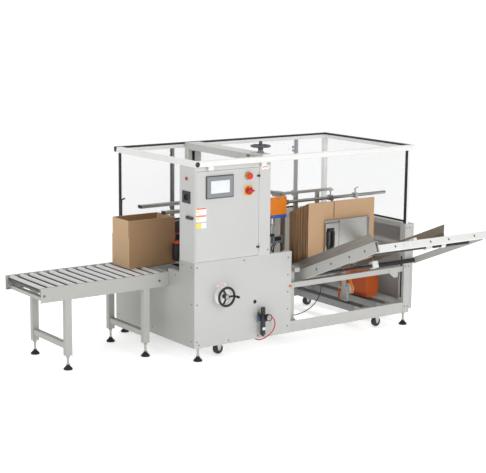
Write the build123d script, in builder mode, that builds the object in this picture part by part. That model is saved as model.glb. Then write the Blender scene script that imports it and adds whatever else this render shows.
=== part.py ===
from build123d import *
import math
import os

# Automatic carton erector and bottom sealer with a roller outfeed table.
# +Z is up, +X runs along the machine's front from the outfeed towards the blank hopper, and +Y
# runs from the operator's side to the back. The origin is the centre of the front left levelling
# foot's sole. All lengths are in millimetres.

# ---------------------------------------------------------------- driving dimensions
base_len = 2056.0        # base along X
base_dep = 1090.0        # base along Y
base_bot = 103.0         # underside of the base above the floor
beam_top = 190.0         # top of the bottom beams
panel_top = 724.0        # top of the lower front panel
side_top = 835.0         # top of the right and rear sides
table_z = 606.0          # height of the roller and bed surface
deck_low = 632.0         # top of the left side under the outlet
foot_in_x = 55.0         # front left foot from the base's corner
foot_in_y = 36.0
wall = 2.0               # sheet metal of the panels
tube = 45.0              # frame tube
clear = 0.5              # clearance round sliding parts
run_fit = 0.05           # radial clearance of a running fit

cab_w = 660.0            # control cabinet
cab_dep = 192.0
cab_bot = 726.0
guard_top = 1450.0       # top of the guard frame
cab_top = guard_top - 42.0
door_top = cab_top - 37.0

guard_bot = 846.0
rail_size = 40.0         # guard profile

conv_len = 1033.0        # outfeed table
conv_near = 335.0
conv_far = 880.0
conv_rail_h = 102.0
roller_count = 13
roller_pitch = 78.0
roller_r = 25.0
shaft_r = 6.0

carton_l = 400.0         # carton: length, width, height and board
carton_w = 245.0
carton_h = 230.0
board = 5.0

tilt = 22.5              # fall of the blank hopper, degrees
hopper_x = 1000.0        # outer face of the hopper's left beam
hopper_z = 585.0         # height of the blanks' ledge at the base's front plane
hopper_out = 826.0       # length of the hopper beam outside the front plane
hopper_in = 262.0        # and inside it
blank_count = 18
blank_pitch = 13.0
blank_t = 7.0

L0 = -foot_in_x          # base's left face in the model's frame
F0 = -foot_in_y          # base's front face in the model's frame

os.makedirs("parts", exist_ok=True)


def at(x, y, z):
    """Point given from the base's front left corner, in the model's frame."""
    return (L0 + x, F0 + y, z)


def span(x0, x1, y0, y1, z0, z1, mode=Mode.ADD):
    """Box that fills three ranges measured from the base's front left corner."""
    with Locations(at((x0 + x1) / 2, (y0 + y1) / 2, (z0 + z1) / 2)):
        Box(x1 - x0, y1 - y0, z1 - z0, mode=mode)


def rod(start, end, radius, mode=Mode.ADD):
    """Round bar between two points measured from the base's front left corner."""
    a = Vector(*at(*start))
    b = Vector(*at(*end))
    with Locations(Plane(origin=(a + b) / 2, z_dir=(b - a).normalized()).location):
        Cylinder(radius, (b - a).length, mode=mode)


def save(piece, name):
    """Label a finished piece and write its STEP file."""
    piece.part.label = name
    export_step(piece.part, "parts/" + name + ".step")


# ---------------------------------------------------------------- base frame
# Welded tube frame: bottom ring, four corner posts, a middle front post, top rails, two cross
# channels, the bed plate under the carton's path and the brackets of the side belts' slide bars.
bed_mid = 708.5          # middle of the carton's path
bed_near = bed_mid - carton_w / 2
bed_far = bed_near + carton_w + 5.0
post_x = base_len - 61.0
mid_x = 800.0
bar_xs = (300.0, 846.0)
with BuildPart() as base_frame:
    span(3, base_len, 3, tube, base_bot, beam_top)
    span(3, base_len, base_dep - tube, base_dep - 3, base_bot, beam_top)
    span(3, tube, 3, base_dep - 3, base_bot, beam_top)
    span(post_x, base_len, 0, base_dep - 3, base_bot, beam_top)
    span(864, post_x, 6, tube + 1, base_bot + 4, beam_top + 1, mode=Mode.SUBTRACT)
    span(tube, base_len - 5, 960, 1015, base_bot, beam_top)
    span(3, tube, 3, 40, beam_top, panel_top - wall - 0.5)
    span(mid_x, 861, 3, 43, beam_top, panel_top - 3)
    span(post_x, base_len, 0, 60, base_bot, 820)
    span(post_x, base_len, base_dep - 60, base_dep - 3, base_bot, side_top)
    span(3, tube, base_dep - 60, base_dep - 3, beam_top, side_top)
    span(post_x + 20, base_len, 3, base_dep - 3, 785, 820)
    span(post_x + 20, base_len, 60, base_dep - 60, 640, 665)
    span(3, base_len, base_dep - 60, base_dep - 3, 790, side_top)
    span(3, 861, 3, 40, panel_top - 40, panel_top - 3)
    span(3, tube, 3, base_dep - 3, 560, 590)
    for x in (1600, 1830):
        span(x, x + 90, 3, base_dep - 3, base_bot + 30, beam_top - 4)
        span(x + 4, x + 86, 60, base_dep - 60, base_bot + 34, beam_top, mode=Mode.SUBTRACT)
    span(900, 945, 3, base_dep - 3, 560, 590)
    span(900, 945, 900, 945, beam_top - 20, 570)
    span(905, 940, 60, 95, beam_top - 20, 570)
    # inlet block for the air hose behind the front beam
    span(545, 590, tube - 1, 104, 146, beam_top)
    span(880, 945, 45, 1015, base_bot, beam_top)
    # bed plate with the tape head's slot
    span(5, 945, bed_near, bed_far, table_z - 6, table_z - 3)
    span(5, 60, bed_near + 4, bed_far - 4, 589, table_z - 5)
    span(880, 945, bed_near + 4, bed_far - 4, 589, table_z - 5)
    span(430, 800, 680, 742, table_z - 7, table_z, mode=Mode.SUBTRACT)
    # brackets of the side belts' slide bars on the front rail and the rear rail
    for x in bar_xs:
        span(x - 15, x + 15, 40, 70, 540, panel_top - 4)
        span(x - 20, x + 20, 1035, base_dep - 3, 540, 800)
save(base_frame, "base_frame")

# ---------------------------------------------------------------- panels
# Lower front panel, folded back at the right edge and under the cabinet, with the hand wheel's
# bearing hole, a cable hole and the row of screw holes along the right side.
wheel_x = 238.0
wheel_z = 466.0
with BuildPart() as front_panel:
    span(0, 864, 0, wall, base_bot, panel_top)
    span(862, 864, 0, 46, base_bot + 90, panel_top)
    span(wall + 0.5, 864, 0, 30, panel_top - wall, panel_top)
    rod((wheel_x, -5, wheel_z), (wheel_x, 5, wheel_z), 9.0, mode=Mode.SUBTRACT)
    rod((531, -5, 383), (531, 5, 383), 11.0, mode=Mode.SUBTRACT)
    for z in range(160, 720, 130):
        rod((832, -2, z), (832, 4, z), 3.0, mode=Mode.SUBTRACT)
    for x in (40, 300, 560):
        rod((x, -2, base_bot + 22), (x, 4, base_bot + 22), 3.0, mode=Mode.SUBTRACT)
save(front_panel, "front_panel")

# Left side panel: full height beside the cabinet, low under the outlet.
with BuildPart() as left_panel:
    with BuildSketch(Plane(origin=at(0, 0, 0), x_dir=(0, 1, 0), z_dir=(1, 0, 0))):
        with BuildLine():
            Polyline(
                (wall + 0.3, base_bot),
                (base_dep, base_bot),
                (base_dep, deck_low),
                (conv_far + 2, deck_low),
                (conv_far + 2, table_z - 8),
                (conv_near + 10, table_z - 8),
                (conv_near + 10, deck_low),
                (cab_dep + 4, deck_low),
                (cab_dep + 4, panel_top),
                (wall + 0.3, panel_top),
                close=True,
            )
        make_face()
    extrude(amount=wall)
    span(0, 30, cab_dep + 4, conv_near + 10, deck_low - wall, deck_low)
    span(0, 30, conv_far + 2, base_dep - 62, deck_low - wall, deck_low)
save(left_panel, "left_panel")

# Rear panel with two rows of vent slots.
with BuildPart() as rear_panel:
    span(3, base_len, base_dep - wall, base_dep, base_bot, side_top)
    with BuildSketch(Plane(origin=at(1200, base_dep, 420), x_dir=(-1, 0, 0), z_dir=(0, 1, 0))):
        with GridLocations(30, 90, 14, 2):
            SlotOverall(60, 6, rotation=90)
    extrude(amount=-2 * wall, mode=Mode.SUBTRACT)
save(rear_panel, "rear_panel")

# Right cover: a shallow pan with rounded upright corners over the right side.
cover_out = 54.0
with BuildPart() as right_panel:
    span(base_len, base_len + cover_out, 12, base_dep - 8, 130, 815)
    fillet(right_panel.edges().filter_by(Axis.Z).sort_by(Axis.X)[-2:], 24)
    offset(amount=-wall, openings=right_panel.faces().sort_by(Axis.X)[0])
save(right_panel, "right_panel")

# ---------------------------------------------------------------- feet and casters
pad_r = 32.0
stud_r = 8.0
leg_x = (-820.0, -187.0)
leg_y = (358.0, 857.0)
foot_spots = [(foot_in_x, foot_in_y), (base_len - 26, foot_in_y)]
foot_spots += [(foot_in_x, base_dep - 36), (base_len - 26, base_dep - 36)]
foot_spots += [(x, y) for x in leg_x for y in leg_y]
with BuildPart() as levelling_feet:
    for x, y in foot_spots:
        with BuildSketch(Plane(origin=at(x, y, 0), x_dir=(1, 0, 0), z_dir=(0, -1, 0))) as profile:
            with BuildLine():
                Polyline((0, 0), (pad_r, 0), (pad_r, 9), (13, 30), (13, 38), (0, 38), close=True)
            make_face()
        revolve(axis=Axis(at(x, y, 0), (0, 0, 1)))
        with Locations(at(x, y, 38)):
            Cylinder(stud_r, base_bot - 38, align=(Align.CENTER, Align.CENTER, Align.MIN))
        with BuildSketch(Plane.XY.offset(base_bot - 16)):
            with Locations((L0 + x, F0 + y)):
                RegularPolygon(14, 6)
        extrude(amount=10)
save(levelling_feet, "levelling_feet")

wheel_r = 38.0
caster_z = 44.0
caster_spots = {
    "front_left": (279, 109),
    "front_right": (base_len - 262, 96),
    "rear_left": (279, 975),
    "rear_right": (base_len - 262, 975),
}
with BuildPart() as caster_forks:
    for x, y in caster_spots.values():
        span(x - 38, x + 38, y - 34, y + 34, base_bot - 6, base_bot)
        for side in (-1, 1):
            face = Plane(origin=at(x, y + side * 20, 0), x_dir=(1, 0, 0), z_dir=(0, -1, 0))
            with BuildSketch(face):
                with BuildLine():
                    Polyline((-24, base_bot - 5), (24, base_bot - 5), (11, 40), (-11, 40), close=True)
                make_face()
                with Locations((0, caster_z)):
                    Circle(12)
            extrude(amount=1.5, both=True)
        rod((x, y - 24, caster_z), (x, y + 24, caster_z), 5.0)
save(caster_forks, "caster_forks")

for name, (x, y) in caster_spots.items():
    with BuildPart() as caster_wheel:
        rod((x, y - 15, caster_z), (x, y + 15, caster_z), wheel_r)
        fillet(caster_wheel.edges().filter_by(GeomType.CIRCLE), 5)
        rod((x, y - 17, caster_z), (x, y + 17, caster_z), 11)
        rod((x, y - 20, caster_z), (x, y + 20, caster_z), 5.0 + run_fit, mode=Mode.SUBTRACT)
    save(caster_wheel, "caster_wheel_" + name)

# ---------------------------------------------------------------- control cabinet
hinge_x = 558.5
hinge_y = -5.0
hinge_zs = (790.0, 1310.0)
with BuildPart() as cabinet_box:
    span(0, cab_w, 0, cab_dep, cab_bot - 2, cab_top)
    span(wall, cab_w - wall, wall, cab_dep - wall, cab_bot, cab_top - wall, mode=Mode.SUBTRACT)
    span(10, 558, -1, wall + 1, cab_bot, door_top + 2, mode=Mode.SUBTRACT)
    span(40, 620, cab_dep - 30, cab_dep - 27, cab_bot + 60, cab_top - 75)
    for z in (820, 960, 1100, 1240):
        span(60, 600, cab_dep - 38, cab_dep - 29, z, z + 30)
        for k in range(5):
            span(80 + 100 * k, 150 + 100 * k, cab_dep - 95, cab_dep - 37, z - 25, z + 55)
    for x in (60, 600):
        for z in (cab_bot + 80, cab_top - 110):
            span(x - 6, x + 6, cab_dep - 30, cab_dep - 1, z - 6, z + 6)
    for z in hinge_zs:
        span(558.5, 578, -3, 0, z - 22, z + 22)
        for low in (z - 22, z + 8):
            rod((hinge_x, hinge_y, low), (hinge_x, hinge_y, low + 14), 4.2)
        span(552, 563, -10, 0, z - 7.8, z + 7.8, mode=Mode.SUBTRACT)
        rod((hinge_x, hinge_y, z - 20), (hinge_x, hinge_y, z + 20), 2.0)
    # bores for the latch spindle, the lamp and the socket in the left wall
    rod((-2, 86, 1043), (4, 86, 1043), 6.0 + run_fit, mode=Mode.SUBTRACT)
    rod((-2, 104, 1316), (4, 104, 1316), 10.5, mode=Mode.SUBTRACT)
    span(-2, 4, 62, 147, 1150, 1221, mode=Mode.SUBTRACT)
save(cabinet_box, "cabinet_box")

estop_x, estop_z = 459.0, 1316.0
switch_x, switch_z = 460.0, 1210.0
with BuildPart() as cabinet_door:
    span(12, 556, 0, 18, cab_bot + 2, door_top)
    span(14, 554, 2, 19, cab_bot + 4, door_top - 2, mode=Mode.SUBTRACT)
    rod((estop_x, -1, estop_z), (estop_x, 3, estop_z), 11.5, mode=Mode.SUBTRACT)
    rod((switch_x, -1, switch_z), (switch_x, 3, switch_z), 8.5, mode=Mode.SUBTRACT)
    span(110, 310, -1, 3, 1190, 1321, mode=Mode.SUBTRACT)
    for z in hinge_zs:
        span(536, hinge_x, -2.5, 0, z - 7.5, z + 7.5)
        rod((hinge_x, hinge_y, z - 7.5), (hinge_x, hinge_y, z + 7.5), 4.2)
        rod((hinge_x, hinge_y, z - 8), (hinge_x, hinge_y, z + 8), 2.0 + run_fit, mode=Mode.SUBTRACT)
save(cabinet_door, "cabinet_door")

# Operator panel: bezel frame with a sunk screen, its body through the door's cut-out.
with BuildPart() as hmi_panel:
    span(92, 328, -9, 0, 1174, 1337)
    fillet(hmi_panel.edges().filter_by(Axis.Y), 5)
    chamfer(hmi_panel.faces().sort_by(Axis.Y)[0].edges(), 3)
    span(131, 294, -10, -7.5, 1210, 1301, mode=Mode.SUBTRACT)
    span(112, 308, 0, 45, 1192, 1319)
save(hmi_panel, "hmi_panel")

# Yellow collar of the emergency stop and yellow plate of the main switch.
with BuildPart() as switch_plates:
    rod((estop_x, -12, estop_z), (estop_x, 0, estop_z), 26)
    rod((estop_x, -14, estop_z), (estop_x, 2, estop_z), 11 + run_fit, mode=Mode.SUBTRACT)
    span(switch_x - 35, switch_x + 35, -5, 0, switch_z - 35, switch_z + 35)
    rod((switch_x, -6, switch_z), (switch_x, 2, switch_z), 8 + run_fit, mode=Mode.SUBTRACT)
save(switch_plates, "switch_plates")

with BuildPart() as estop_button:
    rod((estop_x, -18.5, estop_z), (estop_x, 24, estop_z), 11)
    rod((estop_x, -34, estop_z), (estop_x, -18.5, estop_z), 24)
    fillet(estop_button.edges().filter_by(GeomType.CIRCLE).sort_by(Axis.Y)[0], 9)
save(estop_button, "estop_button")

with BuildPart() as main_switch_knob:
    rod((switch_x, -5.5, switch_z), (switch_x, 20, switch_z), 8)
    rod((switch_x, -20, switch_z), (switch_x, -5.5, switch_z), 30)
    fillet(main_switch_knob.edges().filter_by(GeomType.CIRCLE).sort_by(Axis.Y)[0], 4)
    knob_face = Plane(origin=at(switch_x, -20, switch_z), x_dir=(1, 0, 0), z_dir=(0, -1, 0))
    with BuildSketch(knob_face):
        with BuildLine():
            Polyline((-24, -9), (20, -9), (38, 0), (20, 9), (-24, 9), close=True)
        make_face()
    extrude(amount=20)
    fillet(main_switch_knob.faces().sort_by(Axis.Y)[0].edges(), 3)
save(main_switch_knob, "main_switch_knob")

# Red pilot lamp and black power socket in the left wall.
with BuildPart() as side_fittings:
    rod((-2.5, 104, 1316), (0, 104, 1316), 14)
    rod((-9, 104, 1316), (-2.5, 104, 1316), 11)
    fillet(side_fittings.edges().filter_by(GeomType.CIRCLE).sort_by(Axis.X)[0], 3)
    rod((0, 104, 1316), (30, 104, 1316), 10.2)
    span(-5, 0, 55, 154, 1143, 1228)
    span(0, 35, 64, 145, 1152, 1219)
    for y in (63, 146):
        for z in (1151, 1220):
            rod((-7, y, z), (-5, y, z), 3)
    rod((-8, 104.5, 1185.5), (-5, 104.5, 1185.5), 27)
    rod((-9, 104.5, 1185.5), (2, 104.5, 1185.5), 21, mode=Mode.SUBTRACT)
    for angle in (90, 210, 330):
        py = 104.5 + 11 * math.cos(math.radians(angle))
        pz = 1185.5 + 11 * math.sin(math.radians(angle))
        rod((-6, py, pz), (4, py, pz), 2.5)
save(side_fittings, "side_fittings")

# Swing lever on the left wall that draws its cam inside the cabinet.
with BuildPart() as side_latch:
    rod((-1, 86, 1043), (12, 86, 1043), 6)
    span(6, 10, 66, 94, 1034, 1052)
    rod((-12, 86, 1043), (-0.6, 86, 1043), 13)
    span(-14, -4, 15, 86, 1034, 1052)
    fillet(side_latch.edges().filter_by(Axis.X).sort_by(Axis.Y)[0:2], 6)
save(side_latch, "side_latch")

# ---------------------------------------------------------------- front hand wheel
with BuildPart() as front_handwheel:
    rim = Plane(origin=at(wheel_x, -60, wheel_z), x_dir=(1, 0, 0), z_dir=(0, -1, 0))
    side = Plane(origin=at(wheel_x, -60, wheel_z), x_dir=(1, 0, 0), z_dir=(0, 0, 1))
    with BuildSketch(side):
        with Locations((66, 0)):
            Circle(9)
    revolve(axis=Axis(at(wheel_x, -60, wheel_z), (0, 1, 0)))
    rod((wheel_x, -66, wheel_z), (wheel_x, -34, wheel_z), 19)
    rod((wheel_x, -40, wheel_z), (wheel_x, 70, wheel_z), 8)
    for angle in (0, 120, 240):
        with BuildSketch(rim):
            with Locations(Location((33 * math.cos(math.radians(angle)), 33 * math.sin(math.radians(angle))), angle)):
                Rectangle(62, 13)
        extrude(amount=4, both=True)
    rod((wheel_x + 66, -74, wheel_z), (wheel_x + 66, -60, wheel_z), 7)
    rod((wheel_x + 66, -122, wheel_z), (wheel_x + 66, -60, wheel_z), 3)
save(front_handwheel, "front_handwheel")

with BuildPart() as crank_grip:
    grip_y = (-120, -104, -88, -75)
    grip_r = (7.5, 10.5, 8.5, 6.5)
    side = Plane(origin=at(wheel_x + 66, 0, wheel_z), x_dir=(1, 0, 0), z_dir=(0, 0, 1))
    with BuildSketch(side):
        with BuildLine():
            Spline(*[(r, y) for r, y in zip(grip_r, grip_y)])
            Polyline((grip_r[-1], grip_y[-1]), (3 + run_fit, grip_y[-1]), (3 + run_fit, grip_y[0]), (grip_r[0], grip_y[0]))
        make_face()
    revolve(axis=Axis(at(wheel_x + 66, 0, wheel_z), (0, 1, 0)))
save(crank_grip, "crank_grip")

# ---------------------------------------------------------------- air preparation unit
frl_x, frl_y = 575.0, -42.0
with BuildPart() as air_unit:
    span(frl_x - 22, frl_x + 22, frl_y - 22, frl_y + 22, 238, 288)
    fillet(air_unit.edges().filter_by(Axis.Z), 6)
    rod((frl_x, frl_y, 212), (frl_x, frl_y, 240), 19)
    span(frl_x - 14, frl_x + 14, frl_y + 20, 0, 244, 282)
    span(frl_x - 24, frl_x + 24, -4, 0, 225, 300)
    rod((frl_x - 34, frl_y, 263), (frl_x - 20, frl_y, 263), 9)
    rod((frl_x - 46, frl_y, 263), (frl_x - 33, frl_y, 263), 6.5)
    rod((frl_x - 38, frl_y, 263), (frl_x - 38, frl_y, 312), 5)
    rod((frl_x + 20, frl_y, 263), (frl_x + 36, frl_y, 263), 9)
    rod((frl_x + 34, frl_y, 263), (frl_x + 46, frl_y, 263), 7)
    rod((frl_x + 30, frl_y - 40, 268), (frl_x + 30, frl_y - 16, 268), 26)
    span(frl_x + 25, frl_x + 34, frl_y - 17, frl_y, 259, 274)
    rod((frl_x + 30, frl_y - 42, 268), (frl_x + 30, frl_y - 38, 268), 23.5, mode=Mode.SUBTRACT)
    # filter bowl under the body and seat of the regulator's knob on it
    rod((frl_x, frl_y, 286), (frl_x, frl_y, 289.7), 12)
    rod((frl_x, frl_y, 140), (frl_x, frl_y, 213), 20)
    rod((frl_x, frl_y, 128), (frl_x, frl_y, 141), 9)
save(air_unit, "air_unit")

with BuildPart() as regulator_knob:
    rod((frl_x, frl_y, 290), (frl_x, frl_y, 345), 17)
    fillet(regulator_knob.edges().filter_by(GeomType.CIRCLE).sort_by(Axis.Z)[-1], 5)
    with BuildSketch(Plane.XY.offset(296)):
        with Locations((L0 + frl_x, F0 + frl_y)):
            with PolarLocations(18.0, 16):
                Circle(1.8)
    extrude(amount=40, mode=Mode.SUBTRACT)
save(regulator_knob, "regulator_knob")


def route_radii(points):
    """Arc radii of a hose route: 0.45 of the shorter run over the tangent of half the turn."""
    radii = []
    for a, b, c in zip(points, points[1:], points[2:]):
        first = Vector(*b) - Vector(*a)
        second = Vector(*c) - Vector(*b)
        turn = first.get_angle(second)
        short = min(first.length, second.length)
        radii.append(0.45 * short / math.tan(math.radians(turn / 2)))
    return radii


# Red air hose from the unit's outlet, down, under the bowl and in through the floor side.
hose_r = 4.5
hose_points = [
    at(frl_x + 46, frl_y, 263),
    at(frl_x + 72, frl_y, 263),
    at(frl_x + 96, frl_y - 1, 249),
    at(frl_x + 109, frl_y - 2, 224),
    at(frl_x + 109, frl_y - 3, 194),
    at(frl_x + 97, frl_y - 4, 165),
    at(frl_x + 76, frl_y - 3, 141),
    at(frl_x + 49, frl_y, 122),
    at(frl_x + 25, frl_y + 11, 106),
    at(frl_x + 7, frl_y + 32, 93),
    at(frl_x - 3, frl_y + 59, 87),
    at(frl_x - 7, frl_y + 87, 88),
    at(frl_x - 7, frl_y + 110, 101),
    at(frl_x - 7, frl_y + 121, 122),
    at(frl_x - 7, frl_y + 121, 146),
]
hose_radii = route_radii(hose_points)
print("air hose radii", [round(r, 1) for r in hose_radii])
with BuildPart() as air_hose:
    with BuildLine() as hose_path:
        FilletPolyline(*hose_points, radius=hose_radii)
    with BuildSketch(Plane(origin=hose_path.line @ 0, z_dir=hose_path.line % 0)):
        Circle(hose_r)
    sweep()
hose_len = sum(edge.length for edge in hose_path.edges())
print("air hose length", round(hose_len, 1), "volume", round(air_hose.part.volume, 1))
print("air hose section times length", round(math.pi * hose_r**2 * hose_len, 1))
save(air_hose, "air_hose")

# ---------------------------------------------------------------- rear column, crossbeam and lift
col_x0, col_x1 = 583.0, 700.0
screw_x, screw_y = 688.0, 165.0
screw_r = 10.0
beam_x1 = 720.0
beam_low = guard_top - 50.0
with BuildPart() as crossbeam_column:
    span(col_x0, col_x1, 960, 1015, beam_top, beam_low)
    span(col_x0 + 4, col_x1 - 4, 964, 1011, beam_top + 4, beam_low - 4, mode=Mode.SUBTRACT)
    span(620, 636, 955, 970, 830, beam_low - 15, mode=Mode.SUBTRACT)
    span(col_x0, beam_x1, 80, 1015, guard_top - 4, guard_top)
    span(col_x0, col_x0 + 4, 196, 1015, beam_low, guard_top)
    span(beam_x1 - 4, beam_x1, 196, 1015, beam_low, guard_top)
    span(col_x0, beam_x1, 1011, 1015, beam_low, guard_top)
    span(col_x0, beam_x1, 196, 200, beam_low, guard_top)
    span(col_x0, col_x1, 960, 1015, beam_low - 4, beam_low + 2)
    span(600, 655, 90, 180, cab_top, guard_top - 3)
    span(668, 708, 145, 185, guard_top - 14, guard_top + 4)
    with BuildSketch(Plane(origin=at(screw_x, screw_y, guard_top + 4))):
        Circle(26)
    extrude(amount=20, taper=25)
    rod((screw_x, screw_y, guard_top - 20), (screw_x, screw_y, guard_top + 30), screw_r + run_fit, mode=Mode.SUBTRACT)
save(crossbeam_column, "crossbeam_column")

hub_z = guard_top + 26
with BuildPart() as top_handwheel:
    rod((screw_x, screw_y, 905), (screw_x, screw_y, hub_z + 60), screw_r)
    rod((screw_x, screw_y, hub_z), (screw_x, screw_y, hub_z + 30), 20)
    with BuildSketch(Plane(origin=at(screw_x, screw_y, hub_z + 24), x_dir=(1, 0, 0), z_dir=(0, -1, 0))):
        with Locations((66, 0)):
            Ellipse(10, 8)
    revolve(axis=Axis(at(screw_x, screw_y, 0), (0, 0, 1)))
    for angle in (30, 150, 270):
        with BuildSketch(Plane.XY.offset(hub_z + 18)):
            with Locations(Location((L0 + screw_x, F0 + screw_y), angle)):
                with Locations((38, 0)):
                    Rectangle(60, 14)
        extrude(amount=8)
    rod((screw_x, screw_y, hub_z + 30), (screw_x, screw_y, hub_z + 52), 13)
save(top_handwheel, "top_handwheel")

# Lift carriage: crossbar on the column's slot and the lead screw, with two hangers.
rail_z = 1010.0
rail_ys = (bed_near - 61.0, bed_near + carton_w + 24.0)
with BuildPart() as lift_carriage:
    span(605, 655, 197, 956, 1030, 1070)
    span(622, 634, 954, 985, 1034, 1066)
    span(605, 712, 197, 213, 1030, 1070)
    span(664, 712, 141, 205, 1030, 1070)
    rod((screw_x, screw_y, 1020), (screw_x, screw_y, 1080), screw_r + run_fit, mode=Mode.SUBTRACT)
    for y in rail_ys:
        span(610, 650, y - 18, y + 18, 1020, 1031)
save(lift_carriage, "lift_carriage")

# Two aluminium press rails over the carton's path, each with a T slot and a black end cap.
with BuildPart() as press_rails:
    for y in rail_ys:
        span(76, 652, y - 22, y + 22, rail_z - 14, rail_z + 10)
        for side in (-1, 1):
            span(70, 660, y + side * 20 - 5, y + side * 20 + 5, rail_z - 6, rail_z + 1, mode=Mode.SUBTRACT)
        span(70, 76, y - 22, y + 22, rail_z - 14, rail_z + 10)
save(press_rails, "press_rails")

# ---------------------------------------------------------------- guard
gx0, gx1 = -28.0, base_len - 28.0
gy0, gy1 = -48.0, 1060.0
gz = guard_top - rail_size
door_posts = (482.0, base_len - 354.0)
door_mid = (door_posts[0] + door_posts[1]) / 2
pin_y = 1066.0
guard_hinges = (960.0, 1330.0)
with BuildPart() as guard_frame:
    span(gx0, gx1, gy0, gy0 + rail_size, gz, guard_top)
    span(gx0, gx0 + rail_size, gy0, gy1, gz, guard_top)
    span(gx1 - rail_size, gx1, gy0, gy1, gz, guard_top)
    span(gx0, gx1, gy1 - rail_size, gy1, gz, guard_top)
    fillet(guard_frame.edges().filter_by(Axis.X, reverse=False).sort_by(Axis.Y)[0:2], 8)
    for x in (100, 560):
        span(x, x + 40, gy0 + 20, 0, cab_top - 28, gz + 2)
    span(gx1 - 30, gx1 - 4, 4, 30, 820, gz)
    span(gx1 - 38, gx1 - 2, gy1 - 38, gy1 - 2, side_top, gz)
    span(gx0 + 31, gx0 + 43, gy1 - 38, gy1 - 14, side_top, gz)
    for x in door_posts:
        span(x - 12, x + 12, gy1 - 33, gy1 - 8, side_top, gz)
    for x, way in zip(door_posts, (1, -1)):
        for z in guard_hinges:
            for low in (z - 22, z + 10):
                span(x - 10, x + 10, gy1 - 10, pin_y - 2, low, low + 12)
                rod((x + way * 12, pin_y, low), (x + way * 12, pin_y, low + 12), 7)
                span(min(x, x + way * 12), max(x, x + way * 12), pin_y - 7, pin_y - 2, low, low + 12)
            rod((x + way * 12, pin_y, z - 20), (x + way * 12, pin_y, z + 20), 3)
save(guard_frame, "guard_frame")

# Clear fixed panels: right side, and the two narrow ones of the back.
with BuildPart() as guard_glazing:
    span(gx1 - 20, gx1 - 15, 31, gy1 - 39, guard_bot - 10, gz)
    span(gx0 + 44, door_posts[0] - 13, gy1 - 24, gy1 - 19, side_top + 1, gz)
    span(door_posts[1] + 13, gx1 - 39, gy1 - 24, gy1 - 19, side_top + 1, gz)
save(guard_glazing, "guard_glazing")

# Clear rear doors with hinge blocks and a pull knob each.
door_names = ("guard_door_left", "guard_door_right")
for name, x, way in zip(door_names, door_posts, (1, -1)):
    edge = x + way * 17
    meet = door_mid - way * 3
    with BuildPart() as guard_door:
        span(min(edge, meet), max(edge, meet), gy1 - 24, gy1 - 19, guard_bot, gz - 4)
        for z in guard_hinges:
            span(min(edge + way, edge + way * 40), max(edge + way, edge + way * 40), gy1 - 20, pin_y + 4, z - 9, z + 9)
            rod((x + way * 12, pin_y, z - 9), (x + way * 12, pin_y, z + 9), 7)
            rod((x + way * 12, pin_y, z - 10), (x + way * 12, pin_y, z + 10), 3 + run_fit, mode=Mode.SUBTRACT)
        rod((meet - way * 40, gy1 - 20, 1120), (meet - way * 40, gy1 + 12, 1120), 7)
        rod((meet - way * 40, gy1 + 10, 1120), (meet - way * 40, gy1 + 24, 1120), 16)
    save(guard_door, name)

# ---------------------------------------------------------------- outfeed table
rail_bot = 605.0 - conv_rail_h
roller_xs = [-59.0 - roller_pitch * k for k in range(roller_count)]
roller_z = table_z - roller_r
with BuildPart() as conveyor_frame:
    for face, way in ((conv_near, 1), (conv_far, -1)):
        near, far = min(face, face + way * 3), max(face, face + way * 3)
        span(-conv_len, -0.5, near, far, rail_bot, 605)
        near, far = min(face, face + way * 20), max(face, face + way * 20)
        span(-conv_len, -0.5, near, far, 602, 605)
        span(-conv_len, -0.5, near, far, rail_bot, rail_bot + 3)
        near, far = min(face + way * 13, face + way * 16), max(face + way * 13, face + way * 16)
        span(-conv_len, -0.5, near, far, 566, 604)
        for x in (-conv_len + 26, -80):
            rod((x, face - 6, rail_bot + 48), (x, face + 6, rail_bot + 48), 5, mode=Mode.SUBTRACT)
    for x in (-conv_len + 30, -120):
        span(x, x + 40, conv_near + 2, conv_far - 2, rail_bot + 3, rail_bot + 28)
    for x in roller_xs:
        rod((x, conv_near + 4, roller_z), (x, conv_far - 4, roller_z), shaft_r + run_fit, mode=Mode.SUBTRACT)
    # leg frames: two tubes joined low down by a cross tube
    for x in leg_x:
        for y in leg_y:
            span(x - 25, x + 25, y - 19.5, y + 19.5, base_bot, rail_bot + 1)
            span(x - 25, x + 25, y - 19.5, y - 16.5, rail_bot, 545)
            span(x - 25, x + 25, y + 16.5, y + 19.5, rail_bot, 545)
        span(x - 20, x + 20, leg_y[0], leg_y[1], 150, 190)
save(conveyor_frame, "conveyor_frame")

for index, x in enumerate(roller_xs):
    with BuildPart() as roller:
        rod((x, conv_near + 22, roller_z), (x, conv_far - 22, roller_z), roller_r)
        chamfer(roller.edges().filter_by(GeomType.CIRCLE), 1.5)
        rod((x, conv_near + 5, roller_z), (x, conv_far - 5, roller_z), shaft_r)
    save(roller, "roller_%02d" % (index + 1))

# ---------------------------------------------------------------- side belts and tape head
# The far unit's node holds the two slide bars that both units ride on.
# Each side belt unit is a narrow housing with a driven belt round it, standing on a plate.
belt_x0, belt_x1 = 172.0, 870.0
belt_z0, belt_z1 = 640.0, 770.0


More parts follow.
